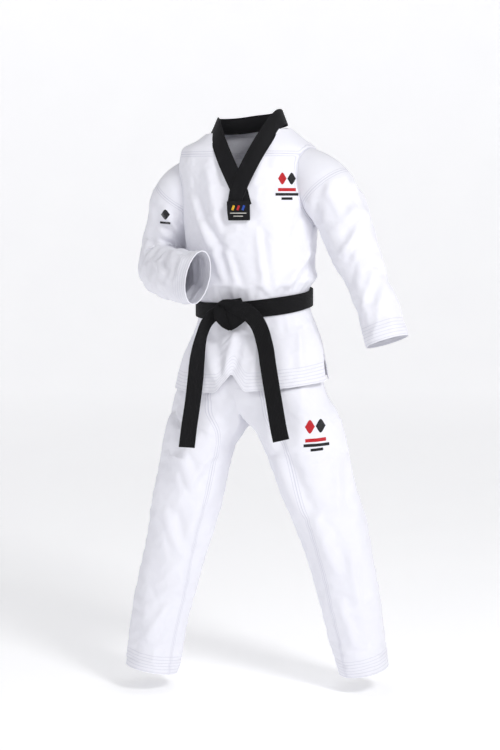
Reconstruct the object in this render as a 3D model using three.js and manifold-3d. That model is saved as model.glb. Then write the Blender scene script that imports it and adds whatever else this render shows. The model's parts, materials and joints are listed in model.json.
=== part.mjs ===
// A taekwondo uniform as it is worn: pullover jacket, trousers and belt, in millimetres, +Z up.
// The wearer's front faces -Y, and heights are measured up from the trouser hems.
// Every cloth piece is a thin closed shell cut from one of five lofts: torso, two sleeves, two legs.
import * as THREE from 'three';
import { mergeVertices } from 'three/addons/utils/BufferGeometryUtils.js';
import Module from 'manifold-3d';

const wasm = await Module();
wasm.setup();

// ---- driving dimensions -------------------------------------------------------------------------
const SHOULDER_HEIGHT = 1340;   // wearer's shoulders above the trouser hems: the garment's origin
const JACKET_WALL = 2.4;        // jacket cloth with its folds
const TROUSER_WALL = 2.2;       // trouser cloth
const SEAM_GAP = 0.4;           // clearance left along every seam
const LAYER_GAP = 0.95;         // clearance between two layers of cloth, facets included
const BELT_WIDTH = 40;
const BELT_WALL = 3;            // one turn of the belt
const BELT_HEIGHT = 918;        // middle of the belt
const YOKE_HEIGHT = 1274;       // yoke seam
const SKIRT_HINGE = 862;        // where the skirt flaps start to swing out, below the belt
const HEM_HEIGHT = 722;         // bottom of the jacket skirt
const HEM_FACING = 58;          // turned-up cloth inside the skirt hem, taller than the notch
const HEM_NOTCH = { width: 74, rise: 46, drop: 10 };   // drop: the hem dips this much at the front
const VENT_ANGLE = 5;           // each side vent takes this many degrees off both skirt panels
const NECK_HEIGHT = 1342;       // top edge of the yoke at the neck
const V_DEPTH = 134;            // from the neck down to the crossing of the lapels
const V_WIDTH = 62;             // half the neck opening at its top
const COLLAR = { width: 40, wall: 4, overlap: 5 };
const TAB = { width: 54, height: 44, wall: 1.6, drop: 46 };   // drop: below the crossing
const BADGE_WALL = 1.4;
const BADGE_LIFT = 0.9;         // a badge clears the folds of the cloth under it
const CUFF_LENGTH = 46;
const LEG_HEM_LENGTH = 46;
const WAISTBAND = { height: 36, below: 20, wall: 2.2, elastic: 1.6 };   // below: the middle of the belt
// The knot sits below the belt's middle, offset towards the wearer's right.
const KNOT = { width: 78, height: 56, depth: 26, drop: 8, offset: -13, bevel: 6 };
const TAIL_WALL = 5;
const CROTCH_HEIGHT = 690;      // where the seat divides into two legs
const ROUND_BODY = 36;          // facets around the torso
const ROUND_LIMB = 16;          // facets around a sleeve or a leg

// ---- lofts --------------------------------------------------------------------------------------
const rad = THREE.MathUtils.degToRad;
const lerp = THREE.MathUtils.lerp;
const vec = (x, y, z) => new THREE.Vector3(x, y, z);

// The torso is a stack of ovals: height, centre x, half width, half depth, turn to the wearer's
// right in degrees, rise at the wearer's left side, dip at the front.
const WAIST_OVAL = [10, 139, 104, 19, 11, 13];
const torsoOvals = [
  [700, 5, 200, 144, 22, 14, 10], [800, 8, 176, 130, 21, 13, 11],
  [BELT_HEIGHT - BELT_WIDTH / 2, ...WAIST_OVAL], [BELT_HEIGHT + BELT_WIDTH / 2, ...WAIST_OVAL],
  [975, 8, 154, 115, 17, 8, 8], [1060, 4, 161, 119, 14, 4, 4], [1160, 0, 167, 121, 12, 0, 0],
  [1235, -3, 172, 113, 12, 0, 0], [1286, -4, 166, 98, 12, 0, 0], [1316, -2, 124, 84, 12, 4, 0],
  [NECK_HEIGHT, 2, 86, 70, 12, 8, -10], [1362, 2, 76, 62, 12, 8, -10],
];
const UNDER_JACKET = JACKET_WALL + LAYER_GAP;
const [, bandWidth, bandDepth] = WAIST_OVAL.map((size) => size - UNDER_JACKET);
const seatOvals = [
  [CROTCH_HEIGHT, 5, 178, 124, 22, 0, 0], [740, 6, 166, 119, 21, 4, 3], [800, 8, 150, 110, 21, 8, 6],
  [BELT_HEIGHT - WAISTBAND.below, WAIST_OVAL[0], bandWidth, bandDepth, ...WAIST_OVAL.slice(3)],
];

function ovalLoft(ovals) {
  return (height) => {
    let i = 0;
    while (i < ovals.length - 2 && height > ovals[i + 1][0]) i += 1;
    const [low, high] = [ovals[i], ovals[i + 1]];
    const k = (height - low[0]) / (high[0] - low[0]);
    const [, x, width, depth, turn, rise, dip] = low.map((value, j) => lerp(value, high[j], k));
    const left = vec(Math.cos(rad(turn)), -Math.sin(rad(turn)), rise / width);
    const front = vec(-Math.sin(rad(turn)), -Math.cos(rad(turn)), -dip / depth);
    return { centre: vec(x, 0, height), side: left, front, width, depth, turn };
  };
}

// A limb is a chain of ovals along a bent path: centre, radius towards "side", radius across it.
// A station's number is its place in the list, so 2.5 lies halfway between the third and the fourth.
function limbLoft(stations, sideHint) {
  const path = new THREE.CatmullRomCurve3(stations.map((s) => vec(s[0], s[1], s[2])));
  const last = stations.length - 1;
  const facing = path.getTangent(0).cross(sideHint).y > 0 ? -1 : 1;   // the same way round all along
  return (place) => {
    const i = Math.min(Math.floor(place), last - 1);
    const k = place - i;
    const tangent = path.getTangent(THREE.MathUtils.clamp(place / last, 0, 1));
    const side = sideHint.clone().addScaledVector(tangent, -sideHint.dot(tangent)).normalize();
    const front = tangent.clone().cross(side).multiplyScalar(facing);
    return {
      centre: path.getPoint(place / last), side, front,
      width: lerp(stations[i][3], stations[i + 1][3], k), depth: lerp(stations[i][4], stations[i + 1][4], k),
    };
  };
}

const torso = ovalLoft(torsoOvals);
const seat = ovalLoft(seatOvals);
const rightSleeve = limbLoft([
  [-76, 22, 1250, 56, 60], [-122, 42, 1220, 66, 68], [-166, 60, 1172, 70, 71], [-192, 80, 1112, 62, 67],
  [-207, 94, 1056, 58, 64], [-217, 74, 1008, 58, 62], [-204, 2, 992, 50, 60], [-170, -84, 988, 42, 61],
  [-122, -160, 984, 33, 64],
], vec(-1, -0.35, 0.25));
const leftSleeve = limbLoft([
  [85, -22, 1254, 56, 60], [133, -42, 1237, 65, 67], [178, -68, 1192, 70, 70], [214, -88, 1135, 65, 66],
  [240, -104, 1068, 60, 62], [262, -118, 1008, 55, 57], [288, -136, 944, 50, 53], [307, -149, 886, 50, 50],
  [322, -162, 834, 52, 48],
], vec(1, 0, 0.4));
const rightLeg = limbLoft([
  [-76, 32, CROTCH_HEIGHT + 50, 82, 112], [-86, 30, CROTCH_HEIGHT, 86, 112], [-102, 26, 640, 90, 106],
  [-120, 26, 590, 90, 98], [-146, 30, 480, 86, 90],
  [-176, 30, 345, 79, 83], [-206, 26, 210, 73, 76], [-230, 20, 90, 69, 71], [-245, 15, 6, 65, 68],
], vec(1, 0, 0));
const leftLeg = limbLoft([
  [84, -34, CROTCH_HEIGHT + 50, 82, 112], [94, -34, CROTCH_HEIGHT, 86, 112], [112, -36, 640, 93, 106],
  [131, -36, 590, 98, 100], [163, -34, 480, 92, 92],
  [205, -30, 350, 84, 85], [239, -26, 215, 76, 78], [265, -20, 95, 68, 72], [281, -15, 12, 63, 68],
], vec(1, 0, 0));

function onLoft(loft, place, angle, outset) {
  const s = loft(place);
  return s.centre.clone()
    .addScaledVector(s.side, (s.width + outset) * Math.sin(rad(angle)))
    .addScaledVector(s.front, (s.depth + outset) * Math.cos(rad(angle)));
}

// ---- solids -------------------------------------------------------------------------------------
function closedMesh(points, triangles) {
  const geometry = new THREE.BufferGeometry();
  geometry.setAttribute('position', new THREE.Float32BufferAttribute(points.flatMap((p) => p.toArray()), 3));
  let volume = 0;
  for (const [a, b, c] of triangles) {
    volume += points[a].dot(points[b].clone().cross(points[c]));
  }
  geometry.setIndex(triangles.flatMap(([a, b, c]) => (volume < 0 ? [a, c, b] : [a, b, c])));
  return geometry;
}

// The closed solid between two grids of points, row by row; "ring" joins each row's ends.
function gridSolid(outer, inner, ring) {
  const rows = outer.length;
  const columns = outer[0].length;
  const points = [...outer.flat(), ...inner.flat()];
  const at = (side, r, c) => side * rows * columns + r * columns + (c % columns);
  const triangles = [];
  const quad = (a, b, c, d) => triangles.push([a, b, c], [a, c, d]);
  const spans = ring ? columns : columns - 1;
  for (let c = 0; c < spans; c += 1) {
    for (let r = 0; r < rows - 1; r += 1) {
      quad(at(0, r, c), at(0, r, c + 1), at(0, r + 1, c + 1), at(0, r + 1, c));
      quad(at(1, r, c), at(1, r + 1, c), at(1, r + 1, c + 1), at(1, r, c + 1));
    }
    quad(at(0, 0, c), at(1, 0, c), at(1, 0, c + 1), at(0, 0, c + 1));
    quad(at(0, rows - 1, c), at(0, rows - 1, c + 1), at(1, rows - 1, c + 1), at(1, rows - 1, c));
  }
  if (!ring) {
    for (let r = 0; r < rows - 1; r += 1) {
      const end = columns - 1;
      quad(at(0, r, 0), at(0, r + 1, 0), at(1, r + 1, 0), at(1, r, 0));
      quad(at(0, r, end), at(1, r, end), at(1, r + 1, end), at(0, r + 1, end));
    }
  }
  return closedMesh(points, triangles);
}

const span = (from, to, steps) => Array.from({ length: steps + 1 }, (_, i) => lerp(from, to, i / steps));

// A full turn of angles, evenly spread, the last one left out.
const fullTurn = (around) => span(0, 360, around).slice(0, -1);

// A shell of cloth on a loft, from one place to another, all round or between two angles.
function cloth(loft, places, wall, { outset = 0, angles = null, around = ROUND_LIMB } = {}) {
  const turns = angles ? span(angles[0], angles[1], around) : fullTurn(around);
  const skin = (out) => places.map((place) => turns.map((angle) => onLoft(loft, place, angle, out)));
  return gridSolid(skin(outset), skin(outset - wall), !angles);
}

// The whole space inside a loft, for cutting what passes through it.
function filled(loft, places, outset, around) {
  const rows = places.map((place) => fullTurn(around).map((angle) => onLoft(loft, place, angle, outset)));
  const hubs = places.map((place) => loft(place).centre);
  const points = [...rows.flat(), hubs[0], hubs[hubs.length - 1]];
  const triangles = [];
  const bottom = rows.length * around;
  for (let c = 0; c < around; c += 1) {
    const d = (c + 1) % around;
    for (let r = 0; r < rows.length - 1; r += 1) {
      const [a, b] = [r * around, (r + 1) * around];
      triangles.push([a + c, a + d, b + d], [a + c, b + d, b + c]);
    }
    const top = (rows.length - 1) * around;
    triangles.push([bottom, d, c], [bottom + 1, top + c, top + d]);
  }
  return closedMesh(points, triangles);
}

function solid(geometry) {
  const bare = geometry.clone();
  bare.deleteAttribute('normal');
  bare.deleteAttribute('uv');
  const merged = mergeVertices(bare, 1e-3);
  return new wasm.Manifold(new wasm.Mesh({
    numProp: 3, vertProperties: new Float32Array(merged.attributes.position.array),
    triVerts: new Uint32Array(merged.index.array),
  }));
}

function fromManifold(body) {
  const mesh = body.getMesh();
  const result = new THREE.BufferGeometry();
  result.setAttribute('position', new THREE.BufferAttribute(new Float32Array(mesh.vertProperties), 3));
  result.setIndex(new THREE.BufferAttribute(new Uint32Array(mesh.triVerts), 1));
  return result;
}

function cut(geometry, ...tools) {
  return fromManifold(tools.reduce((body, tool) => body.subtract(tool), solid(geometry)));
}

// An outline in the plane of the chest, pushed straight out through the cloth of the wearer's front.
function frontCutter(corners, turn) {
  const shape = new THREE.Shape(corners.map(([x, y]) => new THREE.Vector2(x, y)));
  const block = new THREE.ExtrudeGeometry(shape, { depth: 260, bevelEnabled: false });
  block.rotateX(Math.PI / 2);
  block.rotateZ(-rad(turn));
  return solid(block);
}

// ---- the garment --------------------------------------------------------------------------------
const uniform = new THREE.Group();
uniform.position.z = -SHOULDER_HEIGHT;

const finishes = {
  cloth: { color: '#eceaf2', roughness: 0.9 },
  black: { color: '#17171c', roughness: 0.75 },
  badge: { color: '#b3262c', roughness: 0.6 },
  elastic: { color: '#f4f2ee', roughness: 0.85 },
};

function add(name, geometry, finish) {
  const material = new THREE.MeshStandardMaterial({ ...finishes[finish], metalness: 0 });
  const piece = new THREE.Mesh(geometry, material);
  piece.name = name;
  uniform.add(piece);
}

const beltTop = BELT_HEIGHT + BELT_WIDTH / 2;
const beltBottom = BELT_HEIGHT - BELT_WIDTH / 2;
const torsoPlaces = [SKIRT_HINGE + SEAM_GAP, beltBottom, beltTop, 975, 1060, 1160, 1235,
  YOKE_HEIGHT - SEAM_GAP];
const yokePlaces = [YOKE_HEIGHT, 1286, 1301, 1316, NECK_HEIGHT];
const wholeTorso = [...torsoOvals.map((oval) => oval[0]), 1301].sort((a, b) => a - b);
const armWay = [0, 1, 2, 3];
const insideSleeves = [rightSleeve, leftSleeve]
  .map((sleeve) => solid(filled(sleeve, armWay, -JACKET_WALL, ROUND_LIMB)));
const torsoBlock = solid(filled(torso, wholeTorso, SEAM_GAP, ROUND_BODY));
const crossing = NECK_HEIGHT - V_DEPTH;
const chestTurn = torso(crossing).turn;
const neckV = frontCutter([[-V_WIDTH, NECK_HEIGHT + 60], [-V_WIDTH, NECK_HEIGHT - 8], [0, crossing],
  [V_WIDTH, NECK_HEIGHT - 8], [V_WIDTH, NECK_HEIGHT + 60]], chestTurn);

// jacket body: front and back panels up to the yoke seam, and a yoke over each shoulder
const HALF_SEAM = 0.2;          // degrees left off each side of a lengthwise seam
const frontAngles = [-90 + HALF_SEAM, 90 - HALF_SEAM];
const backAngles = [90 + HALF_SEAM, 270 - HALF_SEAM];
const half = ROUND_BODY / 2;
const panel = (places, angles) => cloth(torso, places, JACKET_WALL, { angles, around: half });
const leftHalf = [HALF_SEAM, 180 - HALF_SEAM];
const rightHalf = [180 + HALF_SEAM, 360 - HALF_SEAM];
add('jacket_front', cut(panel(torsoPlaces, frontAngles), neckV, ...insideSleeves), 'cloth');
add('jacket_back', cut(panel(torsoPlaces, backAngles), ...insideSleeves), 'cloth');
add('yoke_left', cut(panel(yokePlaces, leftHalf), neckV, ...insideSleeves), 'cloth');
add('yoke_right', cut(panel(yokePlaces, rightHalf), neckV, ...insideSleeves), 'cloth');

// jacket skirt: front and back flaps below the belt, slit at the sides, with a notch at the front
const skirtPlaces = [HEM_HEIGHT, 760, 800, SKIRT_HINGE];
const facingPlaces = [HEM_HEIGHT, HEM_HEIGHT + HEM_FACING];
const hemTurn = torso(HEM_HEIGHT).turn;
const notchFoot = HEM_HEIGHT - HEM_NOTCH.drop;
const hemNotch = frontCutter([[-HEM_NOTCH.width / 2, notchFoot - 60], [-HEM_NOTCH.width / 2, notchFoot],
  [0, notchFoot + HEM_NOTCH.rise], [HEM_NOTCH.width / 2, notchFoot],
  [HEM_NOTCH.width / 2, notchFoot - 60]], hemTurn);
const frontFlap = [-90 + VENT_ANGLE, 90 - VENT_ANGLE];
const backFlap = [90 + VENT_ANGLE, 270 - VENT_ANGLE];
const FACING_WALL = 1.2;
const facing = (angles) => cloth(torso, facingPlaces, FACING_WALL,
  { outset: -JACKET_WALL - SEAM_GAP, angles, around: half });
add('front_skirt', cut(panel(skirtPlaces, frontFlap), hemNotch), 'cloth');
add('back_skirt', panel(skirtPlaces, backFlap), 'cloth');
add('front_hem_facing', cut(facing(frontFlap), hemNotch), 'cloth');
add('back_hem_facing', facing(backFlap), 'cloth');

// sleeves: a drop-shoulder head on the armhole, the upper sleeve, the bend, the forearm and the cuff
function addSleeve(side, loft, ends) {
  const pieces = [['sleeve_head', 0.4, ends.drop, 6], ['sleeve_upper', ends.drop, ends.bend[0], 3],
    ['elbow_gather', ends.bend[0], ends.bend[1], 4], ['sleeve_forearm', ends.bend[1], ends.cuff, 4],
    ['cuff', ends.cuff, 8, 1]];
  for (const [name, from, to, steps] of pieces) {
    const gap = name === 'cuff' ? 0 : SEAM_GAP / 60;
    const shell = cloth(loft, span(from, to - gap, steps), JACKET_WALL);
    const onBody = name === 'sleeve_head' || name === 'sleeve_upper';
    add(`${name}_${side}`, onBody ? cut(shell, torsoBlock) : shell, 'cloth');
  }
}
const rightEnds = { drop: 2.05, bend: [3.7, 5.9], cuff: 8 - CUFF_LENGTH / 85 };
const leftEnds = { drop: 2.05, bend: [4.1, 5.8], cuff: 8 - CUFF_LENGTH / 55 };
addSleeve('right', rightSleeve, rightEnds);
addSleeve('left', leftSleeve, leftEnds);

// collar: one folded band down both lapels and round the back of the neck, wearer's left lapel on top
const lapelPath = [             // distance across the chest from the crossing, and height
  [14, crossing - 58], [-2, crossing - 14], [-30, crossing + 46], [-56, crossing + 100],
];
function lapel(sign, lift) {
  return lapelPath.map(([across, height]) => {
    const s = torso(height);
    const x = Math.min(0.96 * s.width, Math.abs(across)) * Math.sign(across) * sign;
    const forward = s.depth * Math.sqrt(1 - (x / s.width) ** 2) + lift;
    return s.centre.clone().addScaledVector(s.side, x).addScaledVector(s.front, forward);
  });
}
const neck = torso(NECK_HEIGHT);
const NECK_SIDE = 62;           // degrees from the front to where the lapels end at the neck
const NECK_DIP = 2;             // the band's middle is this much below the yoke where the lapels end
const NECK_STAND = 16;          // and this much above it at the back
const NECK_TILT = 6;            // the wearer's left side stands higher
const neckRing = [-NECK_SIDE, -90, -120, -150, -180, 150, 120, 90, NECK_SIDE].map((angle) => {
  const back = (Math.abs(angle) - NECK_SIDE) / (180 - NECK_SIDE);
  const height = NECK_HEIGHT + lerp(-NECK_DIP, NECK_STAND, back) + NECK_TILT * Math.sin(rad(angle));
  return onLoft(torso, height, angle, 3);
});
const collarCurve = new THREE.CatmullRomCurve3([...lapel(1, 0.5), ...neckRing,
  ...lapel(-1, COLLAR.overlap + 0.5).reverse()]);
function collarBand() {
  const steps = 44;
  const outer = [];
  const inner = [];
  for (let i = 0; i <= steps; i += 1) {
    const u = i / steps;
    const point = collarCurve.getPoint(u);
    const along = collarCurve.getTangent(u);
    const away = point.clone().sub(neck.centre).setZ(0).normalize();
    const lying = THREE.MathUtils.smoothstep(Math.abs(u - 0.5), 0.16, 0.34);
    const face = away.clone().add(vec(0, 0, 0.5 * lying)).normalize();
    face.addScaledVector(along, -face.dot(along)).normalize();
    const across = along.clone().cross(face).normalize();
    const edge = (w, t) => point.clone().addScaledVector(across, w * COLLAR.width / 2)
      .addScaledVector(face, t);
    outer.push([-1, 0, 1].map((w) => edge(w, COLLAR.wall)));
    inner.push([-1, 0, 1].map((w) => edge(w, 0)));
  }
  return gridSolid(outer, inner, false);
}
add('collar_band', cut(collarBand(), torsoBlock), 'black');

// patches: cloth pieces that lie on the jacket, sleeve and thigh
function patch(loft, places, angles, outset, wall) {
  return cloth(loft, span(places[0], places[1], 3), wall, { outset: outset + wall, angles, around: 5 });
}
const tabAngle = TAB.width / 2 / torso(crossing).width * (180 / Math.PI) * 0.98;
add('v_tab', patch(torso, [crossing - TAB.drop - TAB.height, crossing - TAB.drop], [-tabAngle, tabAngle],
  COLLAR.overlap + COLLAR.wall + 5.6, TAB.wall), 'black');
add('chest_badge', patch(torso, [1148, 1222], [23, 46], BADGE_LIFT, BADGE_WALL), 'badge');
add('sleeve_badge_right', patch(rightSleeve, [2.35, 2.95], [8, 48], BADGE_LIFT, BADGE_WALL), 'black');
add('thigh_badge_left', patch(leftLeg, [2.1, 3.3], [-6, 40], BADGE_LIFT, BADGE_WALL), 'badge');

// belt: two turns round the waist, a square knot and two hanging tails
const underTurn = LAYER_GAP + BELT_WALL;
const overTurn = underTurn + SEAM_GAP + BELT_WALL;
for (const [name, outset] of [['belt_turn_under', underTurn], ['belt_turn_over', overTurn]]) {
  add(name, cloth(torso, [beltBottom, beltTop], BELT_WALL, { outset, around: ROUND_BODY }), 'black');
}
const waist = torso(BELT_HEIGHT);
const acrossBelt = waist.side.clone().setZ(0);
const aheadOfBelt = waist.front.clone().setZ(0);
const knotHeight = BELT_HEIGHT - WAIST_OVAL[5] - KNOT.drop;
const beltFront = waist.depth + overTurn;
const knotOutline = new THREE.Shape();
const [knotHalf, knotRise, slant] = [KNOT.width / 2, KNOT.height / 2, KNOT.height / 4];
knotOutline.moveTo(-knotHalf + slant / 2, -knotRise).lineTo(knotHalf - slant / 2, -knotRise);
knotOutline.lineTo(knotHalf, -knotRise + slant).lineTo(knotHalf - slant, knotRise);
knotOutline.lineTo(-knotHalf + slant, knotRise).lineTo(-knotHalf, -knotRise + slant).closePath();
const knotBlock = new THREE.ExtrudeGeometry(knotOutline, {
  depth: KNOT.depth, bevelSize: KNOT.bevel, bevelOffset: -KNOT.bevel, bevelThickness: KNOT.bevel,
  bevelSegments: 2,
});
knotBlock.rotateX(Math.PI / 2);
knotBlock.rotateZ(-rad(waist.turn));
const knotCentre = waist.centre.clone().addScaledVector(acrossBelt, KNOT.offset)
  .addScaledVector(aheadOfBelt, beltFront - KNOT.depth / 2).setZ(knotHeight);
knotBlock.translate(knotCentre.x, knotCentre.y, knotCentre.z);
const straightWaist = (height) => ({ ...waist, centre: waist.centre.clone().setZ(height) });

// Both ends leave the knot in an arch over the belt and hang down past the hem. A station is the
// distance across from the middle of the waist, the distance ahead of it, the height, and the twist.
const rightEnd = [[-36, 114, 901, 0], [-60, 120, 896, 0], [-77, 127, 873, 6], [-85, 133, 846, 16],
  [-91, 138, 815, 32], [-95, 142, 780, 40], [-98, 147, 735, 42], [-104, 150, 680, 42],
  [-112, 152, 625, 40], [-118, 153, 576, 38]];
const leftEnd = [[14, 116, 908, 0], [38, 121, 900, 0], [57, 128, 877, 0], [67, 134, 846, 0],
  [77, 140, 815, 0], [84, 145, 780, 0], [93, 149, 735, 0], [104, 153, 680, 2],
  [114, 156, 630, 4], [121, 158, 603, 6]];
const HANG = 3;                 // the station where an end starts to hang free
function beltEnd(stations, from, to) {
  const path = new THREE.CatmullRomCurve3(stations.map(([across, ahead, height]) => waist.centre.clone()
    .addScaledVector(acrossBelt, across).addScaledVector(aheadOfBelt, ahead).setZ(height)));
  const last = stations.length - 1;
  const skin = (t) => span(from, to, Math.ceil((to - from) * 2)).map((place) => {
    const i = Math.min(Math.floor(place), last - 1);
    const along = path.getTangent(place / last);
    const twist = rad(lerp(stations[i][3], stations[i + 1][3], place - i));
    const wide = aheadOfBelt.clone().cross(along).normalize().applyAxisAngle(along, -twist);
    const face = wide.clone().cross(along);
    return [-0.5, 0.5].map((w) => path.getPoint(place / last).addScaledVector(wide, w * BELT_WIDTH)
      .addScaledVector(face, t));
  });
  return gridSolid(skin(TAIL_WALL / 2), skin(-TAIL_WALL / 2), false);
}
const beltBlock = solid(filled(straightWaist, [800, 990], overTurn + SEAM_GAP, ROUND_BODY));
const roots = [rightEnd, leftEnd].map((stations) => solid(beltEnd(stations, 0, HANG)));
const knotted = roots.reduce((knot, root) => knot.add(root), solid(knotBlock));
add('belt_knot', cut(fromManifold(knotted), beltBlock), 'black');
const hangGap = SEAM_GAP / 30;
add('belt_tail_right', beltEnd(rightEnd, HANG + hangGap, rightEnd.length - 1), 'black');
add('belt_tail_left', beltEnd(leftEnd, HANG + hangGap, leftEnd.length - 1), 'black');

// trousers: elastic waistband, seat halves, crotch gusset and two legs with knees and hems
const bandBottom = BELT_HEIGHT - WAISTBAND.below;
const bandTop = bandBottom + WAISTBAND.height;
const ELASTIC_MARGIN = 4;
add('waistband', cloth(torso, [bandBottom, bandTop], WAISTBAND.wall,
  { outset: -UNDER_JACKET, around: ROUND_BODY }), 'cloth');
add('waist_elastic', cloth(torso, [bandBottom + ELASTIC_MARGIN, bandTop - ELASTIC_MARGIN], WAISTBAND.elastic,
  { outset: -UNDER_JACKET - WAISTBAND.wall - SEAM_GAP, around: ROUND_BODY }), 'elastic');
const seatPlaces = [CROTCH_HEIGHT + SEAM_GAP, 740, 800, bandBottom - LAYER_GAP];
const seatHalf = (angles) => cloth(seat, seatPlaces, TROUSER_WALL, { angles, around: half });
add('seat_left', seatHalf(leftHalf), 'cloth');
add('seat_right', seatHalf(rightHalf), 'cloth');

const seatBlock = solid(filled(seat, [CROTCH_HEIGHT, 800], 30, ROUND_BODY));
const middle = seat(CROTCH_HEIGHT).centre;
const halfSpace = (sign) => {
  const block = new THREE.BoxGeometry(400, 600, 400);
  block.translate(sign * (200 - SEAM_GAP / 2), 0, 0);
  block.rotateZ(-rad(seatOvals[0][4]));
  block.translate(middle.x, middle.y, middle.z);
  return solid(block);
};
const otherSide = { right: halfSpace(1), left: halfSpace(-1) };

function addLeg(side, loft, length) {
  const hemPlace = 8 - LEG_HEM_LENGTH / length;
  const pieces = [['thigh_top', 0.4, 3.45, 5], ['thigh', 3.45, 4.55, 2], ['knee_gather', 4.55, 5.5, 2],
    ['shin', 5.5, hemPlace, 3], ['leg_hem', hemPlace, 8, 1]];
  for (const [name, from, to, steps] of pieces) {
    const gap = name === 'leg_hem' ? 0 : SEAM_GAP / 120;
    const shell = cloth(loft, span(from, to - gap, steps), TROUSER_WALL);
    add(`${name}_${side}`, name === 'thigh_top' ? cut(shell, seatBlock, otherSide[side]) : shell, 'cloth');
  }
}
addLeg('right', rightLeg, 86);
addLeg('left', leftLeg, 86);

export default uniform;
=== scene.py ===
# %% [markdown]
# # A taekwondo uniform, worn and tied
# The uniform is a white pullover jacket with a black collar, white trousers, and a black belt that
# goes twice round the waist and is knotted in front. The CAD model gives every place and every joint.
# It could be dressed by hand sculpting, but cloth is easier to believe when it is cut as flat grids of
# points, shaped round the body, and then left to settle in a cloth simulation. That is the way here.

import json
import math

import bpy
import numpy as np
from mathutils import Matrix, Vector, noise
from mathutils.bvhtree import BVHTree

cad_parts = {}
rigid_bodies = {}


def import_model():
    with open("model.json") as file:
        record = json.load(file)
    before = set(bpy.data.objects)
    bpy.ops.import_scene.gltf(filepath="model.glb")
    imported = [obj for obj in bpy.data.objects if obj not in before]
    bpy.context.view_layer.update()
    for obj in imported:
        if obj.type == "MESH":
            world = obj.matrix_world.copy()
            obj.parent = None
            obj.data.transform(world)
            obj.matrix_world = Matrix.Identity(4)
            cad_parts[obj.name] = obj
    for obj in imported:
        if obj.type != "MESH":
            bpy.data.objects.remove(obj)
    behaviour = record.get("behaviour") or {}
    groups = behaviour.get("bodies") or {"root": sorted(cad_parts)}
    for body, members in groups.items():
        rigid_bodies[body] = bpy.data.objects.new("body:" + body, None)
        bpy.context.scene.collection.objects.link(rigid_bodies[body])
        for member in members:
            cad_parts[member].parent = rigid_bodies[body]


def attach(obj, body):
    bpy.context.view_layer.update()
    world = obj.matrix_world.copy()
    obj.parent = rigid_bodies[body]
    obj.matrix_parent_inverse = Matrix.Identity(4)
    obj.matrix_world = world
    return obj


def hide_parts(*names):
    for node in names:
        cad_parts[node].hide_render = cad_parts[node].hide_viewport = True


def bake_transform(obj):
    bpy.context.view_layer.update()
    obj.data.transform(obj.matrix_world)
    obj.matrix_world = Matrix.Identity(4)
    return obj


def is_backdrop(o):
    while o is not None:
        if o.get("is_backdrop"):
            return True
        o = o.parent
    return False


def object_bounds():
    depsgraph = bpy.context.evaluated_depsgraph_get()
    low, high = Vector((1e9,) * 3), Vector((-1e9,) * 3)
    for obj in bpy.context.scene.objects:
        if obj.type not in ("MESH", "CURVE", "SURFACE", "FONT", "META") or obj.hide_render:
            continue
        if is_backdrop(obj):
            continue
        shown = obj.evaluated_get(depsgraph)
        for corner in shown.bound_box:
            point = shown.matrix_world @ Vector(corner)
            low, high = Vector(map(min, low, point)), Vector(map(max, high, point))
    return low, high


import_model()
scene = bpy.context.scene
cad_box = [list(corner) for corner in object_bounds()]
print("CAD box in metres:", [[round(c, 3) for c in corner] for corner in cad_box])


def place_object(name, data):
    """Puts a mesh, a light or the camera into the scene."""
    thing = bpy.data.objects.new(name, data)
    scene.collection.objects.link(thing)
    return thing


# %% [markdown]
# ## The camera
# Clothes keep their proportions when they are seen from far away through a long lens. The camera
# stands at the height of the chest and looks slightly down.

# %% Camera
camera = place_object("camera", bpy.data.cameras.new("camera"))
camera.location = (0, -4.2, -0.19)
camera.rotation_euler = (math.radians(84.42), 0, 0)
camera.data.lens = 82.9
scene.camera = camera
print("camera", round(-camera.location.y, 2), "m in front of the uniform")

# %% [markdown]
# ## Shapes that cloth is laid on
# The torso is a stack of ovals and each sleeve and leg is a chain of them along a bent path, with the
# same stations as in the CAD model. Here the stations are joined by smooth lines, so the cloth has no
# facets. Everything is in millimetres above the trouser hems until a mesh is made.

# %% Ovals and paths
HEMS = 1340  # the hems are this far below the shoulders, where the frame's origin is


def metres(points):
    """Millimetres, heights above the hems, to the frame's metres."""
    return (np.asarray(points, float) - (0, 0, HEMS)) / 1000


def unit(v):
    """Vectors of length one."""
    return v / np.linalg.norm(v, axis=-1, keepdims=True)


def ease(x):
    """A soft step from 0 to 1."""
    x = np.clip(x, 0, 1)
    return x * x * (3 - 2 * x)


def between(places, values, at):
    """Values between stations, on a smooth line that never overshoots them."""
    places, values = np.asarray(places, float), np.asarray(values, float)
    step = np.diff(places)
    slope = np.diff(values, axis=0) / step[:, None]
    low, high = slope[:-1], slope[1:]
    turn = np.where(low * high > 0, 2 * low * high / np.where(low + high == 0, 1, low + high), 0)
    bend = np.vstack([slope[:1], turn, slope[-1:]])
    at = min(max(at, places[0]), places[-1])
    i = min(int(np.searchsorted(places, at, side="right")) - 1, len(places) - 2)
    k = (at - places[i]) / step[i]
    ends = (1 + 2 * k) * (1 - k) ** 2 * values[i] + k * k * (3 - 2 * k) * values[i + 1]
    return ends + step[i] * (k * (1 - k) ** 2 * bend[i] - k * k * (1 - k) * bend[i + 1])


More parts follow.
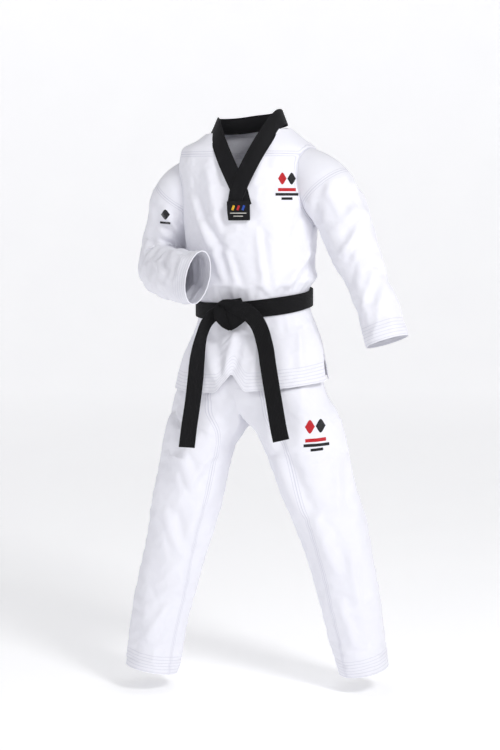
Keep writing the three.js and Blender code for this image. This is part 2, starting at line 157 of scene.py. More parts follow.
def path_through(points):
    """A smooth path through points; a place of 2.5 is halfway between the third and the fourth."""
    points = np.asarray(points, float)
    around = np.vstack([2 * points[0] - points[1], points, 2 * points[-1] - points[-2]])

    def at(place):
        i = min(int(place), len(points) - 2)
        k = place - i
        a, b, c, d = around[i : i + 4]
        ab, bc, cd = (np.linalg.norm(q - p) ** 0.5 for p, q in ((a, b), (b, c), (c, d)))
        s = ((b - a) / ab - (c - a) / (ab + bc) + (c - b) / bc) * bc
        e = ((c - b) / bc - (d - b) / (bc + cd) + (d - c) / cd) * bc
        return b + k * s + k * k * (3 * (c - b) - 2 * s - e) + k**3 * (2 * (b - c) + s + e)

    def heading(place):
        return unit(at(min(place + 0.01, len(points) - 1)) - at(max(place - 0.01, 0)))

    return at, heading


def oval(ovals, height):
    """The oval at a height: centre, side and front directions, half width, half depth."""
    middle, width, depth, turn, rise, dip = between(ovals[:, 0], ovals[:, 1:], height)
    turn = math.radians(turn)
    side = np.array([math.cos(turn), -math.sin(turn), rise / width])
    front = np.array([-math.sin(turn), -math.cos(turn), -dip / depth])
    return np.array([middle, 0, height]), side, front, width, depth


def limb(stations, towards):
    """A sleeve or leg: ovals along a path, with the width pointing as near to 'towards' as it can."""
    stations, towards = np.array(stations, float), np.array(towards, float)
    at, heading = path_through(stations[:, :3])
    facing = -1 if np.cross(heading(0), towards)[1] > 0 else 1

    def section(place):
        along = heading(place)
        side = unit(towards - along * (towards @ along))
        width, depth = between(range(len(stations)), stations[:, 3:], place)
        return at(place), side, np.cross(along, side) * facing, width, depth

    return section


def ring(section, degrees, outset=0.0):
    """Points of an oval: 0 degrees is the front and 90 the wearer's left (or the limb's side)."""
    centre, side, front, width, depth = section
    turn = np.radians(np.atleast_1d(np.asarray(degrees, float)))[:, None]
    outset = np.broadcast_to(np.asarray(outset, float), (len(turn),))[:, None]
    return centre + side * (width + outset) * np.sin(turn) + front * (depth + outset) * np.cos(turn)


def slanted_ring(way, places, degrees):
    """A loop round a sleeve whose station differs from angle to angle."""
    return np.array([ring(way(place), turn)[0] for place, turn in zip(places, degrees)])


# %% The wearer's stance, from the CAD model's stations
WAIST = [10, 139, 104, 19, 11, 13]
TORSO = np.array([[700, 5, 200, 144, 22, 14, 10], [800, 8, 176, 130, 21, 13, 11], [898, *WAIST],
                  [938, *WAIST], [975, 8, 154, 115, 17, 8, 8], [1060, 4, 161, 119, 14, 4, 4],
                  [1160, 0, 167, 121, 12, 0, 0], [1235, -3, 172, 113, 12, 0, 0],
                  [1286, -4, 166, 98, 12, 0, 0], [1316, -2, 124, 84, 12, 4, 0],
                  [1342, 2, 86, 70, 12, 8, -10], [1362, 2, 76, 62, 12, 8, -10]], float)
SEAT = np.array([[600, 10, 236, 120, 22, 0, 0], [640, 8, 218, 122, 22, 0, 0], [667, 6, 206, 124, 22, 0, 0],
                 [690, 5, 195, 124, 22, 0, 0], [717, 5, 184, 122, 22, 2, 1], [740, 6, 175, 120, 21, 4, 3],
                 [800, 8, 153, 111, 21, 8, 6], [898, 10, 135.6, 100.6, 19, 11, 13]], float)


ROOT_TUCK = 16  # a sleeve is this much slimmer at its root


def tucked(section):
    """A sleeve that narrows where it enters the body, so the armhole lies further out."""

    def slimmer(place):
        centre, side, front, width, depth = section(place)
        tuck = ROOT_TUCK * (1 - ease((place - 0.3) / 1.7))
        return centre, side, front, width - tuck, depth - tuck

    return slimmer


sleeves = {
    "right": limb([[-76, 22, 1250, 56, 60], [-122, 42, 1220, 66, 68], [-166, 60, 1172, 70, 71],
                   [-192, 80, 1112, 62, 67], [-207, 94, 1056, 58, 64], [-217, 74, 1008, 58, 62],
                   [-204, 2, 992, 50, 60], [-170, -84, 988, 42, 61], [-122, -160, 984, 33, 64]],
                  (-1, -0.35, 0.25)),
    "left": limb([[85, -22, 1254, 56, 60], [133, -42, 1237, 65, 67], [178, -68, 1192, 70, 70],
                  [214, -88, 1135, 65, 66], [240, -104, 1068, 60, 62], [262, -118, 1008, 55, 57],
                  [288, -136, 944, 50, 53], [307, -149, 886, 50, 50], [322, -162, 834, 52, 48]],
                 (1, 0, 0.4)),
}
sleeves = {side: tucked(way) for side, way in sleeves.items()}
legs = {
    "right": limb([[-76, 32, 740, 82, 112], [-86, 30, 690, 86, 112], [-102, 26, 640, 90, 106],
                   [-120, 26, 590, 90, 98], [-146, 30, 480, 86, 90], [-176, 30, 345, 79, 83],
                   [-206, 26, 210, 73, 76], [-230, 20, 90, 69, 71], [-245, 15, 6, 65, 68]], (1, 0, 0)),
    "left": limb([[84, -34, 740, 82, 112], [94, -34, 690, 86, 112], [112, -36, 640, 93, 106],
                  [131, -36, 590, 98, 100], [163, -34, 480, 92, 92], [205, -30, 350, 84, 85],
                  [239, -26, 215, 76, 78], [265, -20, 95, 68, 72], [281, -15, 12, 63, 68]], (1, 0, 0)),
}
print("stations: torso", len(TORSO), "seat", len(SEAT), "two sleeves and two legs of 9 each")

# %% [markdown]
# ## Finishes
# The jacket and trousers are a cotton and polyester twill: matt, a cool white, with stitch rows that
# sink into it. The belt and collar are black cotton, and the emblems are satin stitch. A painted texture
# could carry all that, but nodes keep each thread at its real size. One helper adds a node and its links.

# %% Colours and the node helper


def colour(code):
    """An sRGB hex code as linear red, green, blue and alpha."""
    parts = [int(code[i : i + 2], 16) / 255 for i in (1, 3, 5)]
    return [c / 12.92 if c <= 0.04045 else ((c + 0.055) / 1.055) ** 2.4 for c in parts] + [1.0]


def add_node(tree, kind, inputs=None, **settings):
    """Adds a node; an input is a plain value or another node's socket."""
    made = tree.nodes.new(kind)
    for key, value in settings.items():
        setattr(made, key, value)
    for key, value in (inputs or {}).items():
        if isinstance(value, bpy.types.NodeSocket):
            tree.links.new(value, made.inputs[key])
        else:
            made.inputs[key].default_value = value
    return made


def new_finish(name, roughness, sheen, ior=1.5, specular=0.5):
    """A material with an empty Principled shader; returns the material, its nodes and the shader."""
    finish = bpy.data.materials.new(name)
    finish.use_nodes = True
    tree = finish.node_tree
    tree.nodes.clear()
    shader = add_node(tree, "ShaderNodeBsdfPrincipled",
                      {"Roughness": roughness, "Sheen Weight": sheen, "IOR": ior,
                       "Specular IOR Level": specular})
    output = add_node(tree, "ShaderNodeOutputMaterial", {"Surface": shader.outputs[0]})
    output.is_active_output = True
    return finish, tree, shader


# %% [markdown]
# ### White twill
# Twill shows fine diagonal ribs. Real ribs are 0.6 mm apart, too fine to show from four metres, so
# they are drawn 1.6 mm apart and very shallow. Two numbers are stored at each point of the cloth: the
# distance to the nearest seam, and the distance to the nearest hem. The stitch rows and seam grooves
# follow them; they are sunk in the bump and darkened in the colour as painted shade.

# %% White cotton twill
twill, tree, shader = new_finish("white_cotton_twill", roughness=0.88, sheen=0.12)
uv = add_node(tree, "ShaderNodeUVMap", uv_map="UVMap").outputs[0]
split = add_node(tree, "ShaderNodeSeparateXYZ", {0: uv})
across_cloth, along_cloth = split.outputs[0], split.outputs[1]
diagonal = add_node(tree, "ShaderNodeMath", {0: across_cloth, 1: along_cloth}, operation="ADD").outputs[0]
rib_turn = add_node(tree, "ShaderNodeMath", {0: diagonal, 1: 2 * math.pi / 0.0016}, operation="MULTIPLY")
ribs = add_node(tree, "ShaderNodeMath", {0: rib_turn.outputs[0]}, operation="SINE").outputs[0]
stitch_turn = add_node(tree, "ShaderNodeMath", {0: diagonal, 1: 2 * math.pi / 0.0036}, operation="MULTIPLY")
stitch_wave = add_node(tree, "ShaderNodeMath", {0: stitch_turn.outputs[0]}, operation="SINE").outputs[0]
dashes = add_node(tree, "ShaderNodeMapRange", {0: stitch_wave, 1: -0.7, 2: -0.1, 3: 0.25, 4: 1.0}).outputs[0]

seam = add_node(tree, "ShaderNodeAttribute", attribute_name="seam_mm").outputs["Fac"]
seam_size = add_node(tree, "ShaderNodeMath", {0: seam}, operation="ABSOLUTE").outputs[0]
groove = add_node(tree, "ShaderNodeMapRange", {0: seam_size, 1: 0.3, 2: 1.6, 3: 1.0, 4: 0.0}).outputs[0]
beside = add_node(tree, "ShaderNodeMath", {0: seam_size, 1: 5.5}, operation="SUBTRACT").outputs[0]
beside = add_node(tree, "ShaderNodeMath", {0: beside}, operation="ABSOLUTE").outputs[0]
seam_row = add_node(tree, "ShaderNodeMapRange", {0: beside, 1: 0.3, 2: 1.2, 3: 1.0, 4: 0.0}).outputs[0]

ROW_STEP = 8.0  # hems and cuffs are stitched in rows 8 mm apart, up to 46 mm from the edge
hem = add_node(tree, "ShaderNodeAttribute", attribute_name="hem_mm").outputs["Fac"]
hem_step = add_node(tree, "ShaderNodeMath", {0: hem, 1: ROW_STEP / 2}, operation="PINGPONG").outputs[0]
hem_row = add_node(tree, "ShaderNodeMapRange",
                   {0: hem_step, 1: ROW_STEP / 2 - 1.1, 2: ROW_STEP / 2 - 0.3, 3: 0.0, 4: 1.0})
hem_zone = add_node(tree, "ShaderNodeMapRange", {0: hem, 1: 46.0, 2: 47.0, 3: 1.0, 4: 0.0}).outputs[0]
hem_rows = add_node(tree, "ShaderNodeMath", {0: hem_row.outputs[0], 1: hem_zone}, operation="MULTIPLY")
rows = add_node(tree, "ShaderNodeMath", {0: seam_row, 1: hem_rows.outputs[0]}, operation="MAXIMUM").outputs[0]
stitches = add_node(tree, "ShaderNodeMath", {0: rows, 1: dashes}, operation="MULTIPLY").outputs[0]
sunk = add_node(tree, "ShaderNodeMath", {0: stitches, 1: groove}, operation="MAXIMUM").outputs[0]

place = add_node(tree, "ShaderNodeTexCoord").outputs["Object"]
washed = add_node(tree, "ShaderNodeTexNoise", {"Vector": place, "Scale": 14.0, "Detail": 3.0}).outputs["Fac"]
pale = add_node(tree, "ShaderNodeMixRGB", {0: washed, 1: colour("#e3e3eb"), 2: colour("#ebebf1")}).outputs[0]
# Seam grooves and stitch rows are darkened toward a grey blue: painted shade in the sunk lines.
painted_groove_shade = add_node(tree, "ShaderNodeMath", {0: sunk, 1: 0.5}, operation="MULTIPLY").outputs[0]
cloth_colour = add_node(tree, "ShaderNodeMixRGB", {0: painted_groove_shade, 1: pale, 2: colour("#b4b4c6")}).outputs[0]
tree.links.new(cloth_colour, shader.inputs["Base Color"])
weave_height = add_node(tree, "ShaderNodeMath", {0: ribs, 1: 0.00003}, operation="MULTIPLY").outputs[0]
sunk_height = add_node(tree, "ShaderNodeMath", {0: sunk, 1: -0.0004}, operation="MULTIPLY").outputs[0]
crumple = add_node(tree, "ShaderNodeTexNoise", {"Vector": place, "Scale": 30.0, "Detail": 4.0}).outputs["Fac"]
crumple_height = add_node(tree, "ShaderNodeMath", {0: crumple, 1: 0.0016}, operation="MULTIPLY").outputs[0]
height = add_node(tree, "ShaderNodeMath", {0: weave_height, 1: sunk_height}, operation="ADD").outputs[0]
height = add_node(tree, "ShaderNodeMath", {0: height, 1: crumple_height}, operation="ADD").outputs[0]
bump = add_node(tree, "ShaderNodeBump", {"Height": height, "Strength": 0.8, "Distance": 1.0})
tree.links.new(bump.outputs[0], shader.inputs["Normal"])
print("white_cotton_twill has", len(tree.nodes), "nodes")

# %% [markdown]
# ### Black cotton, satin stitch and elastic
# These are all threads that run one way, so one recipe makes them: fine ribs along or across the
# piece, the crest of each rib painted lighter as a painted highlight whose strength varies at random
# like dust, and a soft sheen at grazing angles. The belt's stitch rows are real channels in its mesh.
# Thread spacings are given in metres.

# %% Threaded finishes


def threaded(name, dark, light, spacing, depth, across=True, roughness=0.7, sheen=0.25, twist=0.0):
    """A finish of parallel threads: the thread colour, a lighter colour painted on the rib crests as
    highlight, the thread spacing and its depth in metres.
    """
    finish, tree, shader = new_finish(name, roughness, sheen, specular=0.22)
    uv = add_node(tree, "ShaderNodeUVMap", uv_map="UVMap").outputs[0]
    split = add_node(tree, "ShaderNodeSeparateXYZ", {0: uv})
    way, other = (split.outputs[0], split.outputs[1]) if across else (split.outputs[1], split.outputs[0])
    leaning = add_node(tree, "ShaderNodeMath", {0: other, 1: twist, 2: way}, operation="MULTIPLY_ADD")
    turn = add_node(tree, "ShaderNodeMath", {0: leaning.outputs[0], 1: 2 * math.pi / spacing},
                    operation="MULTIPLY")
    thread = add_node(tree, "ShaderNodeMath", {0: turn.outputs[0]}, operation="SINE").outputs[0]
    place = add_node(tree, "ShaderNodeTexCoord").outputs["Object"]
    dust = add_node(tree, "ShaderNodeTexNoise", {"Vector": place, "Scale": 60.0, "Detail": 5.0})
    # Rib crests are painted lighter: a painted highlight, its strength varied at random by the noise.
    lit = add_node(tree, "ShaderNodeMapRange", {0: thread, 1: -1.0, 2: 1.0, 3: 0.0, 4: 0.55}).outputs[0]
    dust_and_highlight = add_node(tree, "ShaderNodeMath", {0: dust.outputs["Fac"], 1: lit}, operation="MULTIPLY")
    shown = add_node(tree, "ShaderNodeMixRGB", {0: dust_and_highlight.outputs[0], 1: colour(dark), 2: colour(light)})
    tree.links.new(shown.outputs[0], shader.inputs["Base Color"])
    raised = add_node(tree, "ShaderNodeMath", {0: thread, 1: depth}, operation="MULTIPLY").outputs[0]
    bump = add_node(tree, "ShaderNodeBump", {"Height": raised, "Strength": 0.7, "Distance": 1.0})
    tree.links.new(bump.outputs[0], shader.inputs["Normal"])
    return finish


belt_cotton = threaded("black_belt_cotton", "#060608", "#141418", 0.0012, 0.00006, across=False,
                       sheen=0.04, roughness=0.8, twist=0.4)
collar_cotton = threaded("black_ribbed_collar", "#07070a", "#17171c", 0.0016, 0.00008,
                         roughness=0.75, sheen=0.04)
label_weave = threaded("black_woven_label", "#060608", "#141418", 0.0010, 0.00004, roughness=0.6, sheen=0.04)
red_thread = threaded("red_embroidery", "#b3121c", "#e0303a", 0.0011, 0.00012, roughness=0.45, twist=0.35)
black_thread = threaded("black_embroidery", "#08080b", "#33333b", 0.0011, 0.00012, roughness=0.45, twist=0.35)
yellow_thread = threaded("yellow_embroidery", "#d9a915", "#f5d34a", 0.0011, 0.00012, roughness=0.45)
blue_thread = threaded("blue_embroidery", "#1b3f9c", "#3d6fd0", 0.0011, 0.00012, roughness=0.45)
elastic = threaded("white_knitted_elastic", "#dcdad2", "#f6f5f0", 0.0022, 0.00025, roughness=0.8)
print("threaded finishes:", [m.name for m in bpy.data.materials if m.name != twill.name])

# %% [markdown]
# ## Laying cloth
# A piece of cloth is a grid of points: rows round the body, columns along it. Folds are pressed into
# the grid as soft ridges, each with a valley beside it, because cloth that is pushed together has to
# go somewhere. A fold is given by its two ends as seen from the front or the back.

# %% Grids, folds and ripples


FOLD_DEPTH = 1.7  # multiplies the rise of every fold


def outward(grid, closed):
    """The direction away from the body at each point of a grid."""
    if closed:
        across = np.roll(grid, -1, axis=1) - np.roll(grid, 1, axis=1)
    else:
        across = np.gradient(grid, axis=1)
    normal = unit(np.cross(across, np.gradient(grid, axis=0)) + 1e-9)
    away = np.sum(normal * (grid - grid.mean(axis=1, keepdims=True)), axis=-1)
    return normal * (1 if away.mean() > 0 else -1)


def press_folds(grid, closed, folds, back=False):
    """Presses folds into a grid. A fold is (x, height, x, height, width, rise), in millimetres."""
    normal = outward(grid, closed)
    facing = np.clip((1 if back else -1) * normal[..., 1] * 1.8, 0, 1)
    lift = np.zeros(grid.shape[:2])
    for x0, h0, x1, h1, width, rise in folds:
        start, run = np.array([x0, h0]), np.array([x1 - x0, h1 - h0], float)
        length = np.linalg.norm(run)
        run /= length
        seen = grid[..., [0, 2]] - start
        taper = np.clip(1 - (2 * (seen @ run) / length - 1) ** 4, 0, 1)
        off = (seen @ np.array([-run[1], run[0]])) / width
        ridge = np.exp(-2 * off**2) - 0.8 * np.exp(-2 * (off - 1.3) ** 2)
        lift += FOLD_DEPTH * rise * taper * facing * ridge
    return grid + normal * lift[..., None]


def ripple(grid, closed, rise, across, along, seed):
    """Soft uneven waves, sized across the body and along it in millimetres."""
    spots = grid.reshape(-1, 3)
    wave = [noise.noise(Vector((p[0] / across + seed, p[1] / across, p[2] / along))) for p in spots]
    return grid + outward(grid, closed) * (rise * np.array(wave).reshape(grid.shape[:2]))[..., None]


def into_mesh(name, grid, closed, keep=None):
    """A plain mesh from a grid; 'keep' says which squares of cloth stay."""
    rows, columns = grid.shape[:2]
    spans = columns if closed else columns - 1
    r, c = (a.ravel() for a in np.meshgrid(np.arange(rows - 1), np.arange(spans), indexing="ij"))
    d = (c + 1) % columns
    quads = np.stack([r * columns + c, r * columns + d, (r + 1) * columns + d, (r + 1) * columns + c], 1)
    if keep is not None:
        quads, r, c = quads[keep.ravel()], r[keep.ravel()], c[keep.ravel()]
    points = metres(grid.reshape(-1, 3))
    middles = np.repeat(grid.mean(axis=1, keepdims=True), columns, axis=1).reshape(-1, 3)
    a, b, e = points[quads[:, 0]], points[quads[:, 1]], points[quads[:, 3]]
    away = np.sum(np.cross(b - a, e - a) * (a - metres(middles)[quads[:, 0]]), axis=1).sum()
    corner_row = np.stack([r, r, r + 1, r + 1], 1)
    corner_column = np.stack([c, c + 1, c + 1, c], 1)
    if away < 0:
        quads, corner_row, corner_column = quads[:, ::-1], corner_row[:, ::-1], corner_column[:, ::-1]
    used, quads = np.unique(quads, return_inverse=True)
    quads = quads.reshape(-1, 4)
    mesh = bpy.data.meshes.new(name)
    mesh.from_pydata(points[used].tolist(), [], quads.tolist())
    return mesh, used, corner_row, corner_column


# %% [markdown]
# ## Letting the cloth settle
# The wearer isn't part of the model, but cloth needs a body to rest on. A plain figure is made from
# the same ovals, a little slimmer, used as a collision surface, and taken away again. The cloth is
# cut slightly larger than the figure, held firmly at seams, belt and hems and loosely elsewhere, so
# the spare cloth buckles into small natural folds. No point may move further than a set cap.

# %% Cloth simulation
FULL = np.arange(0, 360, 10.0)


def figure():
    """The wearer's hidden body as closed grids, about 16 mm inside the cloth."""
    grids = [np.array([ring(oval(TORSO, h), FULL, -17) for h in np.linspace(880, 1330, 30)])]
    for way in sleeves.values():
        grids.append(np.array([ring(way(p), FULL, -16) for p in np.linspace(0.2, 7.9, 30)]))
    for way in legs.values():
        grids.append(np.array([ring(way(p), FULL, -16) for p in np.linspace(0.6, 8, 30)]))
    grids.append(np.array([ring(oval(SEAT, h), FULL, -12) for h in np.linspace(700, 890, 12)]))
    return grids


def settle(cloths, frames=30, spare=0.035, cap=15.0):
    """Simulates grids of cloth together. cloths: name -> (grid, closed, how firmly each point is held)."""
    helpers, moving = [], {}
    for i, grid in enumerate(figure()):
        mesh, *_ = into_mesh(f"figure_{i}", grid, True)
        body = place_object(f"figure_{i}", mesh)
        body.modifiers.new("collision", "COLLISION")
        body.collision.thickness_outer = 0.003
        body.collision.cloth_friction = 8
        helpers.append(body)
    for name, (grid, closed, held) in cloths.items():
        mesh, used, *_ = into_mesh(name + "_settling", grid, closed)
        sheet = place_object(name + "_settling", mesh)
        group = sheet.vertex_groups.new(name="held")
        firmness = np.round(held.ravel(), 2)
        for value in np.unique(firmness):
            group.add(np.flatnonzero(firmness == value).tolist(), float(value), "REPLACE")
        cloth = sheet.modifiers.new("cloth", "CLOTH")
        rules = cloth.settings
        rules.quality = 5
        rules.mass = 0.25
        rules.air_damping = 3
        rules.tension_stiffness = 30
        rules.compression_stiffness = 18
        rules.shear_stiffness = 8
        rules.bending_stiffness = 1.2
        rules.vertex_group_mass = "held"
        rules.shrink_min = -spare
        cloth.collision_settings.distance_min = 0.003
        cloth.collision_settings.use_self_collision = False
        cloth.point_cache.frame_start, cloth.point_cache.frame_end = 1, frames
        moving[name] = sheet
    for moment in range(1, frames + 1):
        scene.frame_set(moment)
    graph = bpy.context.evaluated_depsgraph_get()
    settled = {}
    for name, (grid, closed, held) in cloths.items():
        moved = np.zeros(grid.size)
        moving[name].evaluated_get(graph).data.vertices.foreach_get("co", moved)
        shift = moved.reshape(grid.shape) * 1000 + (0, 0, HEMS) - grid
        far = np.linalg.norm(shift, axis=-1, keepdims=True)
        shift *= cap * np.tanh(far / cap) / np.maximum(far, 1e-6)
        settled[name] = grid + shift
        print(f"  {name}: settled by up to {far.max():.1f} mm, on average {far.mean():.1f} mm")
    for thing in helpers + list(moving.values()):
        mesh = thing.data
        bpy.data.objects.remove(thing)
        bpy.data.meshes.remove(mesh)
    scene.frame_set(1)
    return settled


# %% [markdown]
# ## The jacket body
# One tube of cloth makes the body of the jacket before it is split into its panels, so neighbouring
# panels meet exactly. It is full over the chest, blouses a little over the belt and gathers there.

# %% Jacket body grid
BELT_TOP, BELT_FOOT, YOKE, NECK = 938, 898, 1274, 1342
CROSSING = 1208  # the lapels cross here, at the foot of the V
SPLIT = 906  # the panels end and the skirt starts behind the belt
turns = np.arange(0, 360, 3.0)
heights = np.concatenate([np.linspace(SPLIT, BELT_TOP, 5), np.linspace(945, YOKE, 47),
                          np.linspace(1280, NECK, 10)])


def belt_gathers(degrees, seed):
    """Uneven small pleats where the belt pulls the cloth together, about 1 in size."""
    a = np.radians(degrees)
    uneven = np.array([noise.noise(Vector((math.cos(t) * 3, math.sin(t) * 3, seed))) for t in a])
    return np.sin(38 * a + 9 * uneven) * (0.45 + 1.1 * np.abs(uneven))


pleats = belt_gathers(turns, 2.0)
body = []
neck_edge = 1325 + 21 * np.clip((np.abs((turns + 180) % 360 - 180) - 62) / 118, 0, 1)
for h in heights:
    near_belt = math.exp(-(((h - BELT_TOP) / 34) ** 2)) if h > BELT_TOP else 0.0
    blouse = 5 * math.exp(-(((h - 968) / 22) ** 2))
    out = 4.2 * near_belt * pleats + blouse
    if h > 1290:  # the top rows run down to the lower part of the collar
        level = 1290 + (h - 1290) * (neck_edge - 1290) / (NECK - 1290)
        body.append([ring(oval(TORSO, z), a, o)[0] for z, a, o in zip(level, turns, out)])
    else:
        body.append(ring(oval(TORSO, h), turns, out))
body = np.array(body)
body = ripple(ripple(body, True, 6.0, 55, 260, 1.0), True, 2.2, 24, 80, 21.0)
body = press_folds(body, True, [
    (14, 1110, 34, 948, 11, 3.6), (-100, 1262, -78, 1080, 20, 4.5), (-112, 1120, -60, 960, 14, 3.5),
    (150, 1052, 82, 955, 15, 5.0), (158, 1130, 120, 1010, 18, 4.5), (128, 1210, 70, 1060, 20, 3.0),
    (-140, 1180, -96, 1050, 13, 4.0), (-60, 1050, -30, 952, 11, 3.0), (60, 1150, 52, 1000, 14, 2.4),
])
body = press_folds(body, True, [
    (-110, 1230, -70, 1000, 20, 4.5), (110, 1230, 80, 1000, 20, 4.5), (-10, 1180, 10, 955, 16, 4.0),
    (-130, 1060, -60, 950, 15, 4.0), (130, 1060, 60, 950, 15, 4.0),
], back=True)
print("jacket body:", body.shape[0], "rows of", body.shape[1])

# %% [markdown]
# ## Sleeves
# A sleeve starts where it meets the body. For every line along the sleeve the last point inside the
# torso is found, and the cloth begins there, which draws the armhole by itself. The dropped shoulder
# seam crosses the sleeve further out; between the two lies a small crescent, the sleeve head.

# %% Sleeve grids
DROP = 2.05  # station of the dropped shoulder seam


def in_torso(points, inset):
    """How far out each point is, as a share of the torso's oval at its height less the inset."""
    share = []
    for p in points:
        centre, side, front, width, depth = oval(TORSO, p[2])
        flat = p[:2] - centre[:2]
        share.append(math.hypot(flat @ side[:2] / (width - inset), flat @ front[:2] / (depth - inset)))
    return np.array(share)


def sleeve_start(way, degrees):
    """The station where each lengthwise line of a sleeve leaves the torso."""
    stations = np.arange(0.3, 3.9, 0.1)
    inside = np.array([in_torso(ring(way(p), degrees), 3) < 1 for p in stations])
    last = np.array([stations[np.flatnonzero(column)[-1]] if column.any() else 0.3 for column in inside.T])
    smooth = last
    for _ in range(3):
        smooth = (np.roll(smooth, 1) + 2 * smooth + np.roll(smooth, -1)) / 4
    return np.minimum(smooth, last)


arm_turns = np.arange(0, 360, 8.0)
sleeve_folds = {
    "right": [(-232, 1062, -120, 1012, 13, 6.0), (-226, 1100, -160, 1046, 12, 5.0),
              (-214, 1150, -168, 1078, 14, 4.5),
              (-150, 1215, -176, 1120, 13, 4.0), (-236, 1030, -200, 985, 12, 4.0)],
    "left": [(258, 1104, 208, 1030, 12, 5.0), (250, 1150, 196, 1094, 14, 4.0),
             (170, 1225, 214, 1120, 15, 4.0),
             (290, 1010, 262, 925, 14, 3.0), (168, 1170, 200, 1230, 13, 3.0)],
}
heads, arms, starts = {}, {}, {}
for side, way in sleeves.items():
    starts[side] = start = sleeve_start(way, arm_turns)
    seam_at = np.maximum(start, DROP)
    heads[side] = np.array([slanted_ring(way, start + (seam_at - start) * t, arm_turns)
                            for t in np.linspace(0, 1, 10)])
    arm = np.array([slanted_ring(way, seam_at + (8 - seam_at) * t, arm_turns) for t in np.linspace(0, 1, 62)])
    softened = ripple(press_folds(arm, True, sleeve_folds[side]), True, 6.0, 30, 50, 3.0)
    fade = ease(np.linspace(0, 1, 62) * 12)[:, None, None] * ease(np.linspace(1, 0, 62) * 9)[:, None, None]
    arms[side] = arm + (softened - arm) * fade
    print(side, "sleeve starts between stations", start.min().round(2), "and", start.max().round(2))

# %% [markdown]
# ## Trousers
# Each half of the trousers is one grid from the waist to the hem. Above the crotch a half is a D: the
# outside of the D lies on the hips, and its straight side, where the wearer's legs meet, is left out.
# Below the crotch the D closes and turns smoothly into the round leg.

# %% Trouser grids
CROTCH = 1.6  # station of the legs where the two halves part
leg_turns = np.arange(0, 360, 6.0)  # from the inside of the leg, round by the back
leg_places = np.concatenate([np.linspace(-1.9, 0, 12)[:-1], np.linspace(0, 3.0, 19)[:-1],
                             np.linspace(3.0, 8, 52)])


def trouser_row(way, outer, place):
    """One row of a trouser half. A place below 0 is above the leg's first station."""
    height = 740 + 83 * -place if place < 0 else way(place)[0][2]
    centre, side, front, width, depth = oval(SEAT, height)
    inner = (leg_turns <= 30) | (leg_turns >= 330)
    seat_turn = np.radians(180 - outer * 180 * (leg_turns - 30) / 300)
    swing = np.where(leg_turns >= 330, leg_turns - 360, leg_turns)
    under = 1 - 0.26 * ease((745 - height) / 100) * np.abs(np.cos(seat_turn)) ** 5
    rounded = (centre + side * (width * np.sin(seat_turn))[:, None]
               + front * (depth * under * np.cos(seat_turn))[:, None])
    tuck = 1 - 0.26 * ease((745 - height) / 100)
    straight = centre + front * (-depth * tuck * swing / 30)[:, None]
    half = np.where(inner[:, None], straight, rounded)
    if place < CROTCH:
        return half
    turned = 90 + leg_turns if outer < 0 else 270 - leg_turns
    return half + (ring(way(place), turned) - half) * ease((place - CROTCH) / (3.0 - CROTCH))


trouser_folds = {
    "right": [(-40, 700, -110, 590, 16, 5.0), (-90, 560, -150, 470, 15, 4.0), (-170, 560, -130, 450, 16, 3.5),
              (-120, 440, -190, 250, 22, 3.5), (-205, 420, -175, 300, 18, 3.0),
              (-200, 190, -255, 90, 15, 3.0),
              (-150, 330, -180, 200, 18, 3.0)],
    "left": [(30, 690, 60, 560, 16, 5.0), (60, 560, 130, 400, 20, 4.0), (205, 560, 215, 400, 18, 3.0),
             (150, 420, 215, 260, 20, 3.5), (240, 330, 262, 190, 16, 3.0), (215, 210, 255, 80, 16, 3.0)],
}
halves = {}
for side, way in legs.items():
    outer = -1 if side == "right" else 1
    plain = np.array([trouser_row(way, outer, place) for place in leg_places])
    waved = ripple(press_folds(plain, True, trouser_folds[side]), True, 7.0, 48, 170, 5.0 + outer)
    fade = ease((leg_places + 0.4) / 1.2)[:, None, None] * ease((8.05 - leg_places) * 3)[:, None, None]
    halves[side] = plain + (waved - plain) * fade
    print(side, "trouser half:", plain.shape[0], "rows of", plain.shape[1])

# %% [markdown]
# ## The jacket's skirt
# Below the belt the jacket hangs as a front and a back flap. Their side edges are sewn together for
# the first few centimetres and open below in a vent. The front hem rises to a point in the middle, and
# the rows of the grid follow that edge, so the stitch rows do too.

# %% Skirt grids
HEM, VENT_TOP, VENT = 722, 806, 5.0
NOTCH_HALF, NOTCH_RISE = 37, 46


def skirt(front_flap):
    """A flap as a grid from behind the belt to the hem, and each point's distance to the hem."""
    spread = np.linspace(-1, 1, 61)
    if front_flap:  # columns meet the notch's point and corners
        marks = [-1, -0.17, -0.02, 0.13, 1]
        spread = np.concatenate([np.linspace(a, b, n)[:-1] for a, b, n in
                                 zip(marks[:-1], marks[1:], (22, 8, 8, 24))] + [[1.0]])
    hem_width = oval(TORSO, HEM)[3]
    pleats = belt_gathers(90 * spread, 6.0 if front_flap else 9.0)
    grid, to_hem = [], []
    for t in np.linspace(0, 1, 26):
        row, left = [], []
        for s, p in zip(spread, pleats):
            foot = HEM
            if front_flap:
                reach = abs(hem_width * math.sin(math.radians(85 * s)) + 3.5)
                foot = HEM + max(0.0, NOTCH_RISE * (1 - reach / NOTCH_HALF))
            h = SPLIT + (foot - SPLIT) * t
            half = 90 - VENT * ease((VENT_TOP - h) / (VENT_TOP - HEM))
            turn = half * s if front_flap else 180 + half * s
            out = 2.6 * p * math.exp(-(((h - BELT_FOOT) / 40) ** 2)) * (h < BELT_FOOT)
            row.append(ring(oval(TORSO, h), turn, out)[0])
            left.append(h - foot)
        grid.append(row)
        to_hem.append(left)
    return np.array(grid), np.array(to_hem)


flaps = {"front": skirt(True), "back": skirt(False)}
shaped = {}
for name, (grid, to_hem) in flaps.items():
    waved = ripple(grid, False, 7.0, 48, 300, 8.0 if name == "front" else 11.0)
    if name == "front":
        waved = press_folds(waved, False, [(-104, 850, -88, 735, 16, 3.5), (-34, 860, -62, 750, 14, 4.0),
                                           (24, 868, 8, 750, 13, 4.5), (116, 868, 122, 760, 15, 3.0)])
    fade = ease(np.linspace(0, 1, 26) * 3)[:, None, None]
    shaped[name] = grid + (waved - grid) * fade
print("skirt flaps:", [g.shape[:2] for g in shaped.values()])

